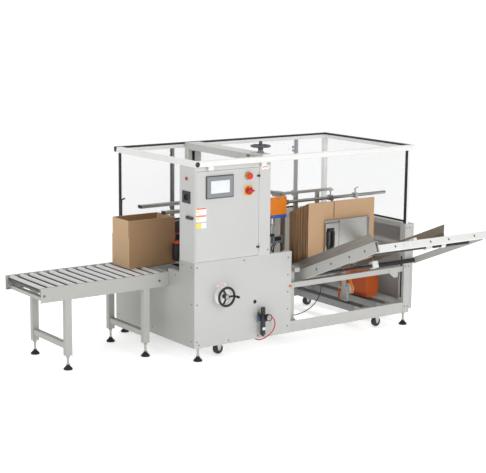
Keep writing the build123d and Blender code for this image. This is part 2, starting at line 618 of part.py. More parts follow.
def belt_unit(y0, y1, leg_y0, leg_y1):
    """Side belt unit between two widths, with bearing blocks on the slide bars."""
    r = (y1 - y0) / 2
    span(belt_x0 + r, belt_x1 - r, y0, y1, belt_z0, belt_z1)
    for x in (belt_x0 + r, belt_x1 - r):
        rod((x, (y0 + y1) / 2, belt_z0), (x, (y0 + y1) / 2, belt_z1), r)
    span(belt_x0 + r, belt_x1 - r, y0 + 8, y1 - 8, belt_z0 - 12, belt_z1 + 10)
    for x in (belt_x0 + r, belt_x1 - r):
        rod((x, (y0 + y1) / 2, belt_z0 - 12), (x, (y0 + y1) / 2, belt_z1 + 16), 16)
    for x in bar_xs:
        span(x - 22, x + 22, leg_y0, leg_y1, 545, belt_z0 - 11)
        rod((x, leg_y0 - 5, 565), (x, leg_y1 + 5, 565), 10 + run_fit, mode=Mode.SUBTRACT)


with BuildPart() as belt_unit_near:
    belt_unit(bed_near - 80, bed_near - 3, bed_near - 66, bed_near - 26)
    with Locations(at(620, bed_near - 41, belt_z1 + 10)):
        Box(110, 62, 90, align=(Align.CENTER, Align.CENTER, Align.MIN))
save(belt_unit_near, "belt_unit_near")
with BuildPart() as belt_unit_far:
    belt_unit(bed_near + carton_w + 8, bed_near + carton_w + 85, bed_near + carton_w + 31, bed_near + carton_w + 69)
    for x in bar_xs:
        rod((x, 70, 565), (x, 1035, 565), 10)
    with Locations(at(420, bed_near + carton_w + 46, belt_z1 + 10)):
        Box(110, 62, 90, align=(Align.CENTER, Align.CENTER, Align.MIN))
save(belt_unit_far, "belt_unit_far")

# Bottom tape head under the bed: side plates, applying roller, tape roll on its spindle.
with BuildPart() as tape_head:
    for y in (684, 733):
        span(440, 790, y, y + 5, 380, 602)
    for x, z in ((470, 588), (760, 588), (470, 500), (700, 540)):
        rod((x, 688, z), (x, 734, z), 14)
    span(450, 780, 688, 734, 380, 388)
    rod((620, 670, 440), (620, 752, 440), 15)
    span(440, 470, 640, 686, 385, 425)
    span(440, 470, 736, 790, 385, 425)
    # carrying rails on four uprights that stand on the base's beams
    for y in (600, 790):
        span(4, 940, y, y + 40, 385, 425)
        span(4, 40, y, y + 40, beam_top, 425)
        span(903, 940, y, y + 40, beam_top, 425)
save(tape_head, "tape_head")

# ---------------------------------------------------------------- hopper
# The hopper's own frame of reference: x along the machine, y down the fall and z square to it.
fall = math.radians(tilt)
tray = Plane(origin=at(0, 0, hopper_z), x_dir=(1, 0, 0), z_dir=(0, math.sin(fall), math.cos(fall)))
rod_downs = (6.0, -628.0)
rod_w = -60.0
slide_r = 12.0
right_end = base_len + 29.0


def tray_box(u0, u1, v0, v1, w0, w1, mode=Mode.ADD):
    """Box in the hopper's frame: along the machine, down the fall, square to the fall."""
    with Locations(tray.location):
        with Locations(((u0 + u1) / 2, (v0 + v1) / 2, (w0 + w1) / 2)):
            Box(u1 - u0, v1 - v0, w1 - w0, mode=mode)


def tray_rod(u0, u1, v, w, radius, mode=Mode.ADD):
    """Round bar along the machine in the hopper's frame."""
    with Locations(tray.location):
        with Locations(Location(((u0 + u1) / 2, v, w), (0, 90, 0))):
            Cylinder(radius, u1 - u0, mode=mode)


with BuildPart() as hopper_frame:
    tray_box(hopper_x, hopper_x + 30, -hopper_out, hopper_in, -78, 0)
    tray_box(hopper_x + 3, hopper_x + 27, -hopper_out - 1, hopper_in + 1, -75, -3, mode=Mode.SUBTRACT)
    tray_box(hopper_x + 20, right_end + 55, -hopper_out, -hopper_out + 50, -78, -28)
    tray_box(1262, 1374, -hopper_out - 5, -hopper_out, -80, -36)
    for u in (1285, 1350):
        with Locations(tray.location):
            with Locations(Location((u, -hopper_out - 6, -58), (90, 0, 0))):
                Cylinder(6, 5)
    for v in rod_downs:
        tray_rod(hopper_x + 3, right_end + 4, v, rod_w, slide_r)
    tray_box(right_end - 5, right_end, -hopper_out + 40, 22, -86, -36)
    # rail that carries the pusher
    tray_box(1365, 1395, -hopper_out, 190, -28, -10)
    tray_box(hopper_x + 10, 1400, 165, 190, -60, -26)
    # lower crossbar between the middle front post and the right front post, with its gusset
    span(864, post_x, 15, 55, 440, 480)
    with BuildSketch(Plane(origin=at(0, 12, 0), x_dir=(1, 0, 0), z_dir=(0, -1, 0))):
        with BuildLine():
            Polyline(
                (L0 + post_x - 90, 480),
                (L0 + post_x, 480),
                (L0 + post_x, 400),
                (L0 + post_x - 40, 400),
                (L0 + post_x - 90, 440),
                close=True,
            )
        make_face()
    extrude(amount=-4)
save(hopper_frame, "hopper_frame")

# Left guide: sheet lip that flares outwards over the beam.
lip_h = 60.0
lip_out = 26.0
guide_from = -hopper_out
with BuildPart() as hopper_guide_left:
    end_face = Plane(
        origin=tray.from_local_coords((0, guide_from, 0)),
        x_dir=tray.x_dir,
        z_dir=-tray.y_dir,
    )
    with BuildSketch(end_face):
        with BuildLine():
            Polyline(
                (hopper_x + 29, 0.2),
                (hopper_x + 29, 2.2),
                (hopper_x + 3, 2.2),
                (hopper_x + 3 - lip_out, lip_h),
                (hopper_x + 1 - lip_out, lip_h - 1),
                (hopper_x + 1, 0.2),
                close=True,
            )
        make_face()
    extrude(amount=-(hopper_in + hopper_out))
save(hopper_guide_left, "hopper_guide_left")

# Right guide: the same lip and a ledge on two slide blocks, set to the blank's width.
guide_u = hopper_x + 15 + carton_l + carton_w
with BuildPart() as hopper_guide_right:
    with BuildSketch(end_face):
        with BuildLine():
            Polyline(
                (guide_u - 22, -2),
                (guide_u - 22, 0),
                (guide_u + 4, 0),
                (guide_u + 4 + lip_out, lip_h),
                (guide_u + 6 + lip_out, lip_h - 1),
                (guide_u + 6, -8),
                (guide_u + 6, -26),
                (guide_u + 3, -26),
                (guide_u + 3, -2),
                close=True,
            )
        make_face()
    extrude(amount=-(hopper_in + hopper_out))
    for v in rod_downs:
        tray_box(guide_u - 24, guide_u + 30, v - 22, v + 22, -80, -2.5)
        tray_rod(guide_u - 30, guide_u + 36, v, rod_w, slide_r + run_fit, mode=Mode.SUBTRACT)
save(hopper_guide_right, "hopper_guide_right")

# Blank pusher: bent plate with a pull handle, on a carriage that runs on the rail.
push_y = -14.0
with BuildPart() as blank_pusher:
    span(1160, 1592, push_y - 3, push_y, 612, 930)
    span(1160, 1592, push_y - 30, push_y, 926, 930)
    span(1589, 1592, push_y - 18, push_y, 640, 930)
    span(1160, 1286, push_y - 18, push_y - 15, 640, 905)
    span(1160, 1163, push_y - 18, push_y, 640, 905)
    span(1283, 1286, push_y - 18, push_y, 640, 905)
    # oval finger pull: a rim round a hole in the left face
    pull = Plane(origin=at(1205, push_y - 30, 787), x_dir=(1, 0, 0), z_dir=(0, -1, 0))
    with BuildSketch(pull):
        SlotOverall(153, 68, rotation=90)
    extrude(amount=-13)
    with BuildSketch(pull):
        SlotOverall(127, 42, rotation=90)
    extrude(amount=-24, mode=Mode.SUBTRACT)
    tray_box(1340, 1420, -70, 0, -44, -5)
    tray_box(1364.5, 1395.5, -75, 5, -28.5, -9.5, mode=Mode.SUBTRACT)
    tray_box(1370, 1390, -75, 5, -46, -20, mode=Mode.SUBTRACT)
    span(1350, 1410, push_y - 30, push_y - 2, 594, 640)
    span(1364.5, 1395.5, push_y - 60, push_y + 20, 570, 587, mode=Mode.SUBTRACT)
save(blank_pusher, "blank_pusher")

# ---------------------------------------------------------------- gate and suction arm
# Gate: two uprights with the suction arm's guide beam, and the hold-down bar with its clamps.
beam_u = 978.0
gate_bar_y, gate_bar_z = 250.0, 1047.0
with BuildPart() as blank_gate:
    span(beam_u, beam_u + 25, 267, 292, beam_top, 1113)
    span(beam_u, beam_u + 25, 905, 930, beam_top, 1113)
    span(beam_u, beam_u + 25, 267, 930, 1088, 1113)
    span(945, beam_u + 5, 270, 289, 150, beam_top)
    span(945, beam_u + 5, 908, 927, 150, beam_top)
    span(beam_u, beam_u + 25, 267, 292, 150, beam_top)
    span(beam_u, beam_u + 25, 905, 930, 150, beam_top)
    span(beam_u - 2, beam_u + 32, gate_bar_y - 17, 268, gate_bar_z - 19, gate_bar_z + 19)
    rod((beam_u, gate_bar_y, gate_bar_z), (base_len - 66, gate_bar_y, gate_bar_z), 12.5)
    for x in (1430, 1680):
        span(x - 17, x + 17, gate_bar_y - 19, gate_bar_y + 19, gate_bar_z - 19, gate_bar_z + 19)
        rod((x, gate_bar_y, gate_bar_z + 18), (x, gate_bar_y, gate_bar_z + 52), 5)
        rod((x - 8, gate_bar_y, gate_bar_z + 50), (x + 30, gate_bar_y, gate_bar_z + 62), 4)
        span(x - 9, x + 9, gate_bar_y - 22, gate_bar_y - 17, gate_bar_z - 120, gate_bar_z + 14)
save(blank_gate, "blank_gate")

# Suction arm: sleeve on the guide beam, orange carrier plate and two drop arms with cups.
with BuildPart() as suction_arm:
    span(beam_u - 6, beam_u + 31, 300, 366, 1082, 1119)
    span(beam_u - clear, beam_u + 25 + clear, 295, 370, 1088 - clear, 1113 + clear, mode=Mode.SUBTRACT)
    span(948, beam_u - 4, 216, 366, 1083, 1100)
    span(730, beam_u - 6, 212, 217, 965, 1100)
    span(760, 960, 217, 240, 1000, 1040)
    rod((850, 236, 880), (850, 236, 1000), 24)
    rod((850, 236, 815), (850, 236, 881), 7)
    span(830, 870, 222, 250, 800, 820)
    span(beam_u + 29, 1500, 316, 340, 1090, 1110)
    for x in (1150, 1360):
        span(x - 15, x + 15, 318, 338, 800, 1092)
        for z in (830, 910):
            rod((x, 260, z), (x, 330, z), 7)
            with BuildSketch(Plane(origin=at(x, 262, z), x_dir=(1, 0, 0), z_dir=(0, -1, 0))):
                Circle(10)
            extrude(amount=28, taper=-28)
save(suction_arm, "suction_arm")

# ---------------------------------------------------------------- strap gear
# The pusher's strap: steel balancer housing, bracket with the pulley's pin and the reel, and the
# strap from the anchor under the pulley and up to the reel.
pul_x, pul_y, pul_z = 1700.0, 318.0, 280.0
pul_r = 39.0
strap_t = 1.5
reel_y, reel_z, reel_r = 351.0, 430.0, 14.0
with BuildPart() as strap_gear:
    span(1858, 1985, 290, 620, 225, 388)
    fillet(strap_gear.edges().filter_by(Axis.Z), 4)
    span(1870, 1972, 300, 610, beam_top - 4, 226)
    span(1660, 1676, 300, 336, beam_top - 4, 300)
    span(1660, 1676, 330, 366, beam_top - 4, 444)
    span(1640, 1686, 290, 376, beam_top - 4, beam_top + 2)
    rod((1664, pul_y, pul_z), (1718, pul_y, pul_z), 7)
    rod((1664, reel_y, reel_z), (1714, reel_y, reel_z), reel_r)
    wrap = pul_r + 0.6 + strap_t / 2
    top_wrap = reel_r + strap_t / 2
    lean = math.atan2(reel_z - pul_z, reel_y - pul_y)
    lean += math.radians(90) - math.asin((wrap - top_wrap) / math.hypot(reel_y - pul_y, reel_z - pul_z))
    ny, nz = math.cos(lean), math.sin(lean)
    with BuildSketch(Plane(origin=at(1685.5, 0, 0), x_dir=(0, 1, 0), z_dir=(1, 0, 0))):
        with BuildLine():
            Line((reel_y + top_wrap * ny, reel_z + top_wrap * nz), (pul_y + wrap * ny, pul_z + wrap * nz))
            ThreePointArc(
                (pul_y + wrap * ny, pul_z + wrap * nz),
                (pul_y - wrap * math.cos(math.radians(30)), pul_z - wrap * math.sin(math.radians(30))),
                (pul_y, pul_z - wrap),
            )
            Line((pul_y, pul_z - wrap), (436, pul_z - wrap))
        trace(line_width=strap_t)
    extrude(amount=25)
    span(1690, 1706, 434, 442, 131, pul_z - 20)
save(strap_gear, "strap_gear")

with BuildPart() as strap_pulley:
    rod((1684, pul_y, pul_z), (1712, pul_y, pul_z), pul_r)
    for x in (1681, 1711.5):
        rod((x, pul_y, pul_z), (x + 3, pul_y, pul_z), pul_r + 5)
    rod((1678, pul_y, pul_z), (1720, pul_y, pul_z), 7 + run_fit, mode=Mode.SUBTRACT)
save(strap_pulley, "strap_pulley")

# ---------------------------------------------------------------- cartons
# Blanks: flat folded cases on edge, each with the flap slots at the corner score.
blank_h = carton_h + carton_w
with BuildPart() as blank_stack:
    for k in range(blank_count):
        y0 = -10.0 + blank_pitch * k
        z0 = hopper_z - math.tan(fall) * y0 + 3.5
        span(1008, 1008 + carton_l + carton_w, y0, y0 + blank_t, z0, z0 + blank_h)
        slot = 1008 + carton_w
        flap = carton_w / 2
        span(slot - 3, slot + 3, y0 - 1, y0 + 8, z0 + blank_h - flap, z0 + blank_h + 1, mode=Mode.SUBTRACT)
        span(slot - 3, slot + 3, y0 - 1, y0 + 8, z0 - 1, z0 + flap, mode=Mode.SUBTRACT)
save(blank_stack, "blank_stack")

# Erected carton on the rollers, bottom closed, top flaps standing.
car_x0 = -182.0
car_x1 = car_x0 + carton_l
car_y0 = bed_near + 0.5
car_y1 = car_y0 + carton_w
car_z0 = table_z + 0.4
with BuildPart() as erected_carton:
    span(car_x0, car_x1, car_y0, car_y1, car_z0, car_z0 + carton_h)
    span(car_x0 + board, car_x1 - board, car_y0 + board, car_y1 - board, car_z0 + 2 * board,
         car_z0 + carton_h + 1, mode=Mode.SUBTRACT)
    flap_top = car_z0 + carton_h + carton_w / 2
    for y in (car_y0, car_y1 - board):
        span(car_x0 + 4, car_x1 - 4, y, y + board, car_z0 + carton_h - 1, flap_top)
    for x in (car_x0, car_x1 - board):
        span(x, x + board, car_y0 + board + 4, car_y1 - board - 4, car_z0 + carton_h - 1, flap_top)
save(erected_carton, "erected_carton")

# ---------------------------------------------------------------- hopper cable
# Sensor lead from the hopper beam down to the base and in under the front panel's edge.
cable_r = 3.5
cable_points = [
    at(1180, 35, 440),
    at(1180, 35, 405),
    at(1179, 40, 366),
    at(1171, 50, 326),
    at(1154, 64, 287),
    at(1128, 80, 252),
    at(1092, 94, 226),
    at(1050, 105, 208),
    at(1005, 112, 199),
    at(962, 116, 197.5),
    at(922, 116, 203),
    at(888, 112, 220),
    at(862, 106, 246),
    at(845, 100, 279),
    at(836, 94, 314),
]
cable_radii = route_radii(cable_points)
print("hopper cable radii", [round(r, 1) for r in cable_radii])
with BuildPart() as hopper_cable:
    with BuildLine() as cable_path:
        FilletPolyline(*cable_points, radius=cable_radii)
    with BuildSketch(Plane(origin=cable_path.line @ 0, z_dir=cable_path.line % 0)):
        Circle(cable_r)
    sweep()
cable_len = sum(edge.length for edge in cable_path.edges())
print("hopper cable length", round(cable_len, 1), "volume", round(hopper_cable.part.volume, 1))
print("hopper cable section times length", round(math.pi * cable_r**2 * cable_len, 1))
save(hopper_cable, "hopper_cable")
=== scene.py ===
import math
import bmesh
import bpy
import numpy as np
from mathutils import Matrix, Vector


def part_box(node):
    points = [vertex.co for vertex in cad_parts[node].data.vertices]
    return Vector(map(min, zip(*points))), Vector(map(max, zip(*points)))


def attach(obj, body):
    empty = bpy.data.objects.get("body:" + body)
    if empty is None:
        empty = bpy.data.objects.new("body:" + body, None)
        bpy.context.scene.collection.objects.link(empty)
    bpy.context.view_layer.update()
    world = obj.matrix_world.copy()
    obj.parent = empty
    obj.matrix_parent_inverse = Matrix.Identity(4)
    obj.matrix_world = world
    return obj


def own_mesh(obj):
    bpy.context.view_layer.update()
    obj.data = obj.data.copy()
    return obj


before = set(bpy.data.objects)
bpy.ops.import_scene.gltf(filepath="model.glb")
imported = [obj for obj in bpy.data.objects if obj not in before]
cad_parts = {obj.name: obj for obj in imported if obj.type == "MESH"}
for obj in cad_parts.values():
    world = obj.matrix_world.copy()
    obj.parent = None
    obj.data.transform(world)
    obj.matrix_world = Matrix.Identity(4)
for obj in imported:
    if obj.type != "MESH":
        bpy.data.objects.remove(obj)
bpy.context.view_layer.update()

# ---------------------------------------------------------------- viewpoint and studio
# A long lens off the outfeed's front corner, a little above the guard. Three soft boxes light a
# pale floor: the strongest in front, a weaker one at the left and one overhead.
yaw, pitch, roll = math.radians(35.82), math.radians(10.325), math.radians(0.566)
forward = Vector((
    math.sin(yaw) * math.cos(pitch),
    math.cos(yaw) * math.cos(pitch),
    -math.sin(pitch),
))
level = Vector((math.cos(yaw), -math.sin(yaw), 0.0))
upright = level.cross(forward)
right = math.cos(roll) * level + math.sin(roll) * upright
up = -math.sin(roll) * level + math.cos(roll) * upright
lens = bpy.data.cameras.new("camera")
lens.sensor_width = 36.0
lens.lens = 100.0
lens.clip_end = 300.0
camera = bpy.data.objects.new("camera", lens)
turned = Matrix((right, up, -forward)).transposed().to_4x4()
camera.matrix_world = Matrix.Translation((-5.227, -7.781, 2.618)) @ turned
bpy.context.scene.collection.objects.link(camera)
bpy.context.scene.camera = camera

lamp_spots = {
    "softbox_front": ((1.2, -7.5, 3.4), 4.0, 190.0),
    "softbox_left": ((-5.5, -1.5, 3.6), 3.0, 45.0),
    "softbox_top": ((0.8, 0.6, 5.5), 3.0, 90.0),
}
for name, (spot, width, power) in lamp_spots.items():
    light = bpy.data.lights.new(name, "AREA")
    light.size = width
    light.energy = power
    lamp = bpy.data.objects.new(name, light)
    lamp.location = spot
    aim = Vector((0.6, 0.4, 0.7)) - lamp.location
    lamp.rotation_euler = aim.to_track_quat("-Z", "Y").to_euler()
    bpy.context.scene.collection.objects.link(lamp)

world = bpy.data.worlds.new("studio")
bpy.context.scene.world = world
world.use_nodes = True
world.node_tree.nodes["Background"].inputs["Color"].default_value = (1.0, 1.0, 1.0, 1.0)
bpy.context.scene.view_settings.view_transform = "Standard"


def linear(code):
    """Linear red, green, blue and 1 of a hex colour: ((c + 0.055) / 1.055) to the power 2.4
    above 0.04045."""
    parts = [int(code[k:k + 2], 16) / 255.0 for k in (0, 2, 4)]
    channels = [c / 12.92 if c <= 0.04045 else ((c + 0.055) / 1.055) ** 2.4 for c in parts]
    return (*channels, 1.0)


def add(tree, kind, inputs=None, **settings):
    """One shader node with its settings; an input is a constant or the socket that feeds it."""
    made = tree.nodes.new("ShaderNode" + kind)
    for key, value in settings.items():
        setattr(made, key, value)
    for key, value in (inputs or {}).items():
        if isinstance(value, bpy.types.NodeSocket):
            tree.links.new(value, made.inputs[key])
        else:
            made.inputs[key].default_value = value
    return made


def material(name, code, roughness, metallic=0.0, **sockets):
    """New material: (material, tree, shader, object coordinates), constants set on the shader."""
    made = bpy.data.materials.new(name)
    made.use_nodes = True
    tree = made.node_tree
    shader = tree.nodes["Principled BSDF"]
    shader.inputs["Base Color"].default_value = linear(code)
    shader.inputs["Roughness"].default_value = roughness
    shader.inputs["Metallic"].default_value = metallic
    for key, value in sockets.items():
        shader.inputs[key.replace("_", " ")].default_value = value
    return made, tree, shader, add(tree, "TexCoord").outputs["Object"]


sky = add(world.node_tree, "TexCoord").outputs["Generated"]
rise = add(world.node_tree, "SeparateXYZ", {0: sky}).outputs[2]
glow = add(world.node_tree, "MapRange",
    {"Value": rise, "From Min": 0.06, "From Max": 0.3, "To Min": 1.1, "To Max": 0.5})
world.node_tree.links.new(glow.outputs[0], world.node_tree.nodes["Background"].inputs["Strength"])
floor_size = 60.0
mesh = bpy.data.meshes.new("floor")
corners = [(-1, -1, 0), (1, -1, 0), (1, 1, 0), (-1, 1, 0)]
mesh.from_pydata([tuple(c * floor_size for c in p) for p in corners], [], [(0, 1, 2, 3)])
floor = bpy.data.objects.new("floor", mesh)
bpy.context.scene.collection.objects.link(floor)
concrete, tree, shader, coords = material("pale_floor", "FBFBFB", 0.8,
    Emission_Color=linear("FFFFFF"), Emission_Strength=0.5)
floor.data.materials.append(concrete)

# ---------------------------------------------------------------- base weldment and panels
# Square steel tube, channel and folded sheet, powder coated in a warm light grey with a faint
# orange peel; dust gathers low down. The panels are held by rows of pan head screws. Painted
# shade: the inner faces of the base and its panels are coloured darker, near black strips beside
# the right post stand for its shadow, and the left panel's coat is darker as its shaded side.


def noise(tree, coords, scale, detail=2.0, stretch=(1.0, 1.0, 1.0)):
    """Noise from 0 to 1 whose grain is 1 / scale metres, stretched by scaling the coordinates."""
    moved = add(tree, "Mapping", {"Vector": coords, "Scale": stretch})
    inputs = {"Vector": moved.outputs[0], "Scale": scale, "Detail": detail}
    return add(tree, "TexNoise", inputs).outputs["Fac"]


def spread(tree, value, low, high):
    """Value from 0 to 1 laid out between low and high."""
    return add(tree, "MapRange", {"Value": value, "To Min": low, "To Max": high}).outputs[0]


def blend_colour(tree, factor, a, b):
    """Colour a where factor is 0 and b where it is 1; either is a hex code or a socket."""
    ends = [linear(c) if isinstance(c, str) else c for c in (a, b)]
    mixed = add(tree, "Mix", data_type="RGBA")
    for socket, value in zip((mixed.inputs[0], mixed.inputs[6], mixed.inputs[7]), [factor] + ends):
        if isinstance(value, bpy.types.NodeSocket):
            tree.links.new(value, socket)
        else:
            socket.default_value = value
    return mixed.outputs[2]


def bump(tree, shader, height, strength, distance):
    """Relief of the surface: height times distance in metres."""
    relief = add(tree, "Bump", {"Height": height, "Strength": strength, "Distance": distance})
    tree.links.new(relief.outputs[0], shader.inputs["Normal"])


def spot(x, y, z):
    """Point in metres from millimetres counted from the base's front left corner."""
    return Vector(((x - 55.0) / 1000.0, (y - 36.0) / 1000.0, z / 1000.0))


def inside(tree, coords, low, high):
    """1 inside a box given in millimetres from the base's corner: the largest of |p - centre| -
    half is negative."""
    a, b = spot(*low), spot(*high)
    centred = add(tree, "VectorMath", {0: coords, 1: (a + b) / 2}, operation="SUBTRACT")
    folded = add(tree, "VectorMath", {0: centred.outputs[0]}, operation="ABSOLUTE")
    beyond = add(tree, "VectorMath", {0: folded.outputs[0], 1: (b - a) / 2}, operation="SUBTRACT")
    split = add(tree, "SeparateXYZ", {0: beyond.outputs[0]})
    first = add(tree, "Math", {0: split.outputs[0], 1: split.outputs[1]}, operation="MAXIMUM")
    second = add(tree, "Math", {0: first.outputs[0], 1: split.outputs[2]}, operation="MAXIMUM")
    return add(tree, "Math", {0: second.outputs[0], 1: 0.0}, operation="LESS_THAN").outputs[0]


def patches(tree, shader, coords, colour, gloss, metal, areas):
    """Paints boxes of one piece: each area is (low, high, colour, roughness, metallic)."""
    for low, high, code, rough, metallic in areas:
        mask = inside(tree, coords, low, high)
        colour = blend_colour(tree, mask, colour, code)
        gloss = add(tree, "MapRange", {"Value": mask, "To Min": gloss, "To Max": rough}).outputs[0]
        metal = add(tree, "MapRange",
            {"Value": mask, "To Min": metal, "To Max": metallic}).outputs[0]
    tree.links.new(colour, shader.inputs["Base Color"])
    for socket, value in ((shader.inputs["Roughness"], gloss), (shader.inputs["Metallic"], metal)):
        if isinstance(value, bpy.types.NodeSocket):
            tree.links.new(value, socket)


def dress(made, *nodes):
    """Gives a material to CAD nodes."""
    for name in nodes:
        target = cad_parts[name]
        target.data.materials.clear()
        target.data.materials.append(made)


def powder_coat(name, code, areas=(), gloss=0.42):
    """Powder coat: orange peel of 1.2 mm grain, slow shade changes, dust that fades upwards from
    the floor."""
    made, tree, shader, coords = material(name, code, gloss, Coat_Weight=0.08, Coat_Roughness=0.25)
    slow = noise(tree, coords, 3.0, 3.0)
    shade = blend_colour(tree, spread(tree, slow, 0.0, 0.22), code, "A5A49E")
    height = add(tree, "SeparateXYZ", {0: coords}).outputs[2]
    low_down = add(tree, "MapRange",
        {"Value": height, "From Min": 0.10, "From Max": 0.42, "To Min": 0.22, "To Max": 0.0})
    specks = add(tree, "Math", {0: low_down.outputs[0], 1: noise(tree, coords, 45.0, 4.0)},
        operation="MULTIPLY")
    colour = blend_colour(tree, specks.outputs[0], shade, "8C8880")
    satin = spread(tree, noise(tree, coords, 60.0, 3.0), gloss - 0.05, gloss + 0.07)
    patches(tree, shader, coords, colour, satin, 0.0, areas)
    bump(tree, shader, noise(tree, coords, 820.0, 2.0), 0.18, 0.0004)
    return made


black = "101113"
panel_grey = powder_coat("powder_coat_panels", "BDBEBC")
dress(panel_grey, "front_panel")
# Left panel: its coat is darker than the front panels' as painted shade on that side, and its inner
# face is darker still as painted shade inside the base.
left_inner_shade_areas = [((1.2, 20, 110), (12, 1075, 740), "85858A", 0.5, 0.0)]
dress(powder_coat("powder_coat_left_shaded", "A9A9A5", left_inner_shade_areas), "left_panel")
# Rear panel: its inner face is coloured darker as painted shade inside the base.
rear_inner_shade_areas = [((30, 1060, 120), (2075, 1087.4, 800), "8B8B8E", 0.5, 0.0)]
dress(powder_coat("powder_coat_rear", "C0C0BC", rear_inner_shade_areas), "rear_panel")
# Base frame: the parts inside the base are coloured darker as painted shade, and the two near black
# strips beside the right post are its painted shadow.
frame_shade_areas = [
    ((990, 60, 190), (2050, 120, 200), "A9A9A6", 0.5, 0.0),
    ((1996, 44, 190), (2060, 62, 790), "2A2A2C", 0.6, 0.0),
    ((1993, 26, 225), (1998, 44, 560), "2A2A2C", 0.6, 0.0),
    ((20, 130, 100), (1995, 1040, 190), "8E8E90", 0.5, 0.0),
    ((20, 130, 190), (1990, 1080, 560), "9A9A9C", 0.5, 0.0),
]
dress(powder_coat("powder_coat_frame", "B9B9B6", frame_shade_areas), "base_frame")
# Right cover: its inner face is coloured darker as painted shade inside the base.
cover_inner_shade_areas = [((2012, 20, 110), (2049, 1075, 795), "85858A", 0.5, 0.0)]
dress(powder_coat("powder_coat_cover", "B4B3AF", cover_inner_shade_areas), "right_panel")


def build(name, verts, faces, made, body, smooth=40.0):
    """Mesh from arrays: doubles merged, normals turned outwards, edges over the angle kept
    sharp, riding a body."""
    mesh = bpy.data.meshes.new(name)
    mesh.from_pydata(np.asarray(verts, float).reshape(-1, 3).tolist(), [],
        np.asarray(faces).tolist())
    work = bmesh.new()
    work.from_mesh(mesh)
    bmesh.ops.remove_doubles(work, verts=work.verts, dist=1e-6)
    bmesh.ops.dissolve_degenerate(work, edges=work.edges, dist=1e-7)
    bmesh.ops.recalc_face_normals(work, faces=work.faces)
    work.to_mesh(mesh)
    work.free()
    mesh.shade_smooth()
    mesh.set_sharp_from_angle(angle=math.radians(smooth))
    mesh.materials.append(made)
    piece = bpy.data.objects.new(name, mesh)
    bpy.context.scene.collection.objects.link(piece)
    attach(piece, body)
    return piece


def grid_faces(rows, columns, copies=1, wrap=False):
    """Quads of a grid of rows by columns points, once for each copy; wrap joins the last column
    to the first."""
    i, j = np.meshgrid(np.arange(rows - 1), np.arange(columns if wrap else columns - 1),
        indexing="ij")
    k = (j + 1) % columns
    low, high = i * columns, (i + 1) * columns
    quads = np.stack([low + j, low + k, high + k, high + j], -1)
    quads = quads.reshape(-1, 4)
    return (quads[None] + (np.arange(copies) * rows * columns)[:, None, None]).reshape(-1, 4)


def turned_part(profile, axis, places, around=20):
    """Lathe part at several places: point = place + h * axis + r * (cos t * u + sin t * v) for
    (r, h) along the profile."""
    axis = Vector(axis).normalized()
    u = axis.orthogonal().normalized()
    v = axis.cross(u)
    t = np.linspace(0.0, 2 * np.pi, around, endpoint=False)
    ring = np.cos(t)[:, None] * np.array(u) + np.sin(t)[:, None] * np.array(v)
    profile = np.array(profile, float) / 1000.0
    base = profile[:, 0, None, None] * ring[None] + profile[:, 1, None, None] * np.array(axis)
    verts = np.array([np.array(p) for p in places])[:, None, None, :] + base[None]
    return verts, grid_faces(len(profile), around, len(places), wrap=True)


def zinc(name, code="B5B5B3", rough=0.32):
    """Zinc plated steel: fine mottled gloss."""
    made, tree, shader, coords = material(name, code, rough, 1.0)
    tree.links.new(spread(tree, noise(tree, coords, 350.0, 3.0), rough - 0.08, rough + 0.14),
        shader.inputs["Roughness"])
    bump(tree, shader, noise(tree, coords, 900.0, 2.0), 0.08, 0.0002)
    return made


screw_zinc = zinc("zinc_plated_screws", "6F6F6C", 0.35)
pan_head = [(0.3, 0.6), (1.6, 0.8), (2.0, 2.2), (4.0, 2.0), (5.4, 0.9), (5.6, -0.6), (0.0, -0.6)]
front_spots = [spot(832, 0, z) for z in range(160, 720, 130)]
front_spots += [spot(x, 0, 125) for x in (40, 300, 560)] + [spot(22, 0, z) for z in (150, 420, 690)]
front_spots += [spot(430, 0, 700), spot(2010, 0, 155), spot(2040, 0, 155), spot(2010, 0, 480),
    spot(2040, 0, 480)]
front_spots += [spot(2010, 0, 790), spot(2040, 0, 790), spot(575, 0, 1390), spot(642, 0, 1390),
    spot(642, 0, 760)]
verts, faces = turned_part(pan_head, (0, -1, 0), front_spots)
build("front_screws", verts, faces, screw_zinc, "machine")
left_edges = ((40, 690), (160, 690), (40, 150), (560, 150), (1050, 150), (40, 420))
left_spots = [spot(0, y, z) for y, z in left_edges]
left_spots += [spot(0, y, 600) for y in (250, 930, 1050)]
verts, faces = turned_part(pan_head, (-1, 0, 0), left_spots)
build("left_screws", verts, faces, screw_zinc, "machine")
grommet = [(0.0, 1.2), (9.0, 1.4), (12.0, 2.2), (14.0, 1.6), (14.6, 0.2), (10.6, 0.1), (10.6, -2.4),
    (0.0, -2.4)]
verts, faces = turned_part(grommet, (0, -1, 0), [spot(531, 0, 383)], 36)
rubber_black, tree, shader, coords = material("grommet_rubber", "101113", 0.6)
tree.links.new(spread(tree, noise(tree, coords, 300.0), 0.5, 0.7), shader.inputs["Roughness"])
build("cable_grommet", verts, faces, rubber_black, "machine")
rear_spots = [spot(x, 1090, z) for x in range(60, 2050, 276) for z in (150, 470, 810)]
verts, faces = turned_part(pan_head, (0, 1, 0), rear_spots, 12)
build("rear_screws", verts, faces, screw_zinc, "machine")

# ---------------------------------------------------------------- feet and casters
# Black moulded pads on zinc studs with lock nuts; four nylon casters with pressed forks that only
# touch the floor when the feet are screwed up.


def moulded(name, code, rough=0.45, areas=(), grain=700.0):
    """Moulded plastic: fine spark texture and slightly uneven gloss."""
    made, tree, shader, coords = material(name, code, rough, Specular_IOR_Level=0.45)
    worn = blend_colour(tree, spread(tree, noise(tree, coords, 30.0, 4.0), 0.0, 0.08), code,
        "6A6A6A")
    uneven = spread(tree, noise(tree, coords, 80.0, 3.0), rough - 0.08, rough + 0.1)
    patches(tree, shader, coords, worn, uneven, 0.0, areas)
    bump(tree, shader, noise(tree, coords, grain, 2.0), 0.12, 0.0003)
    return made


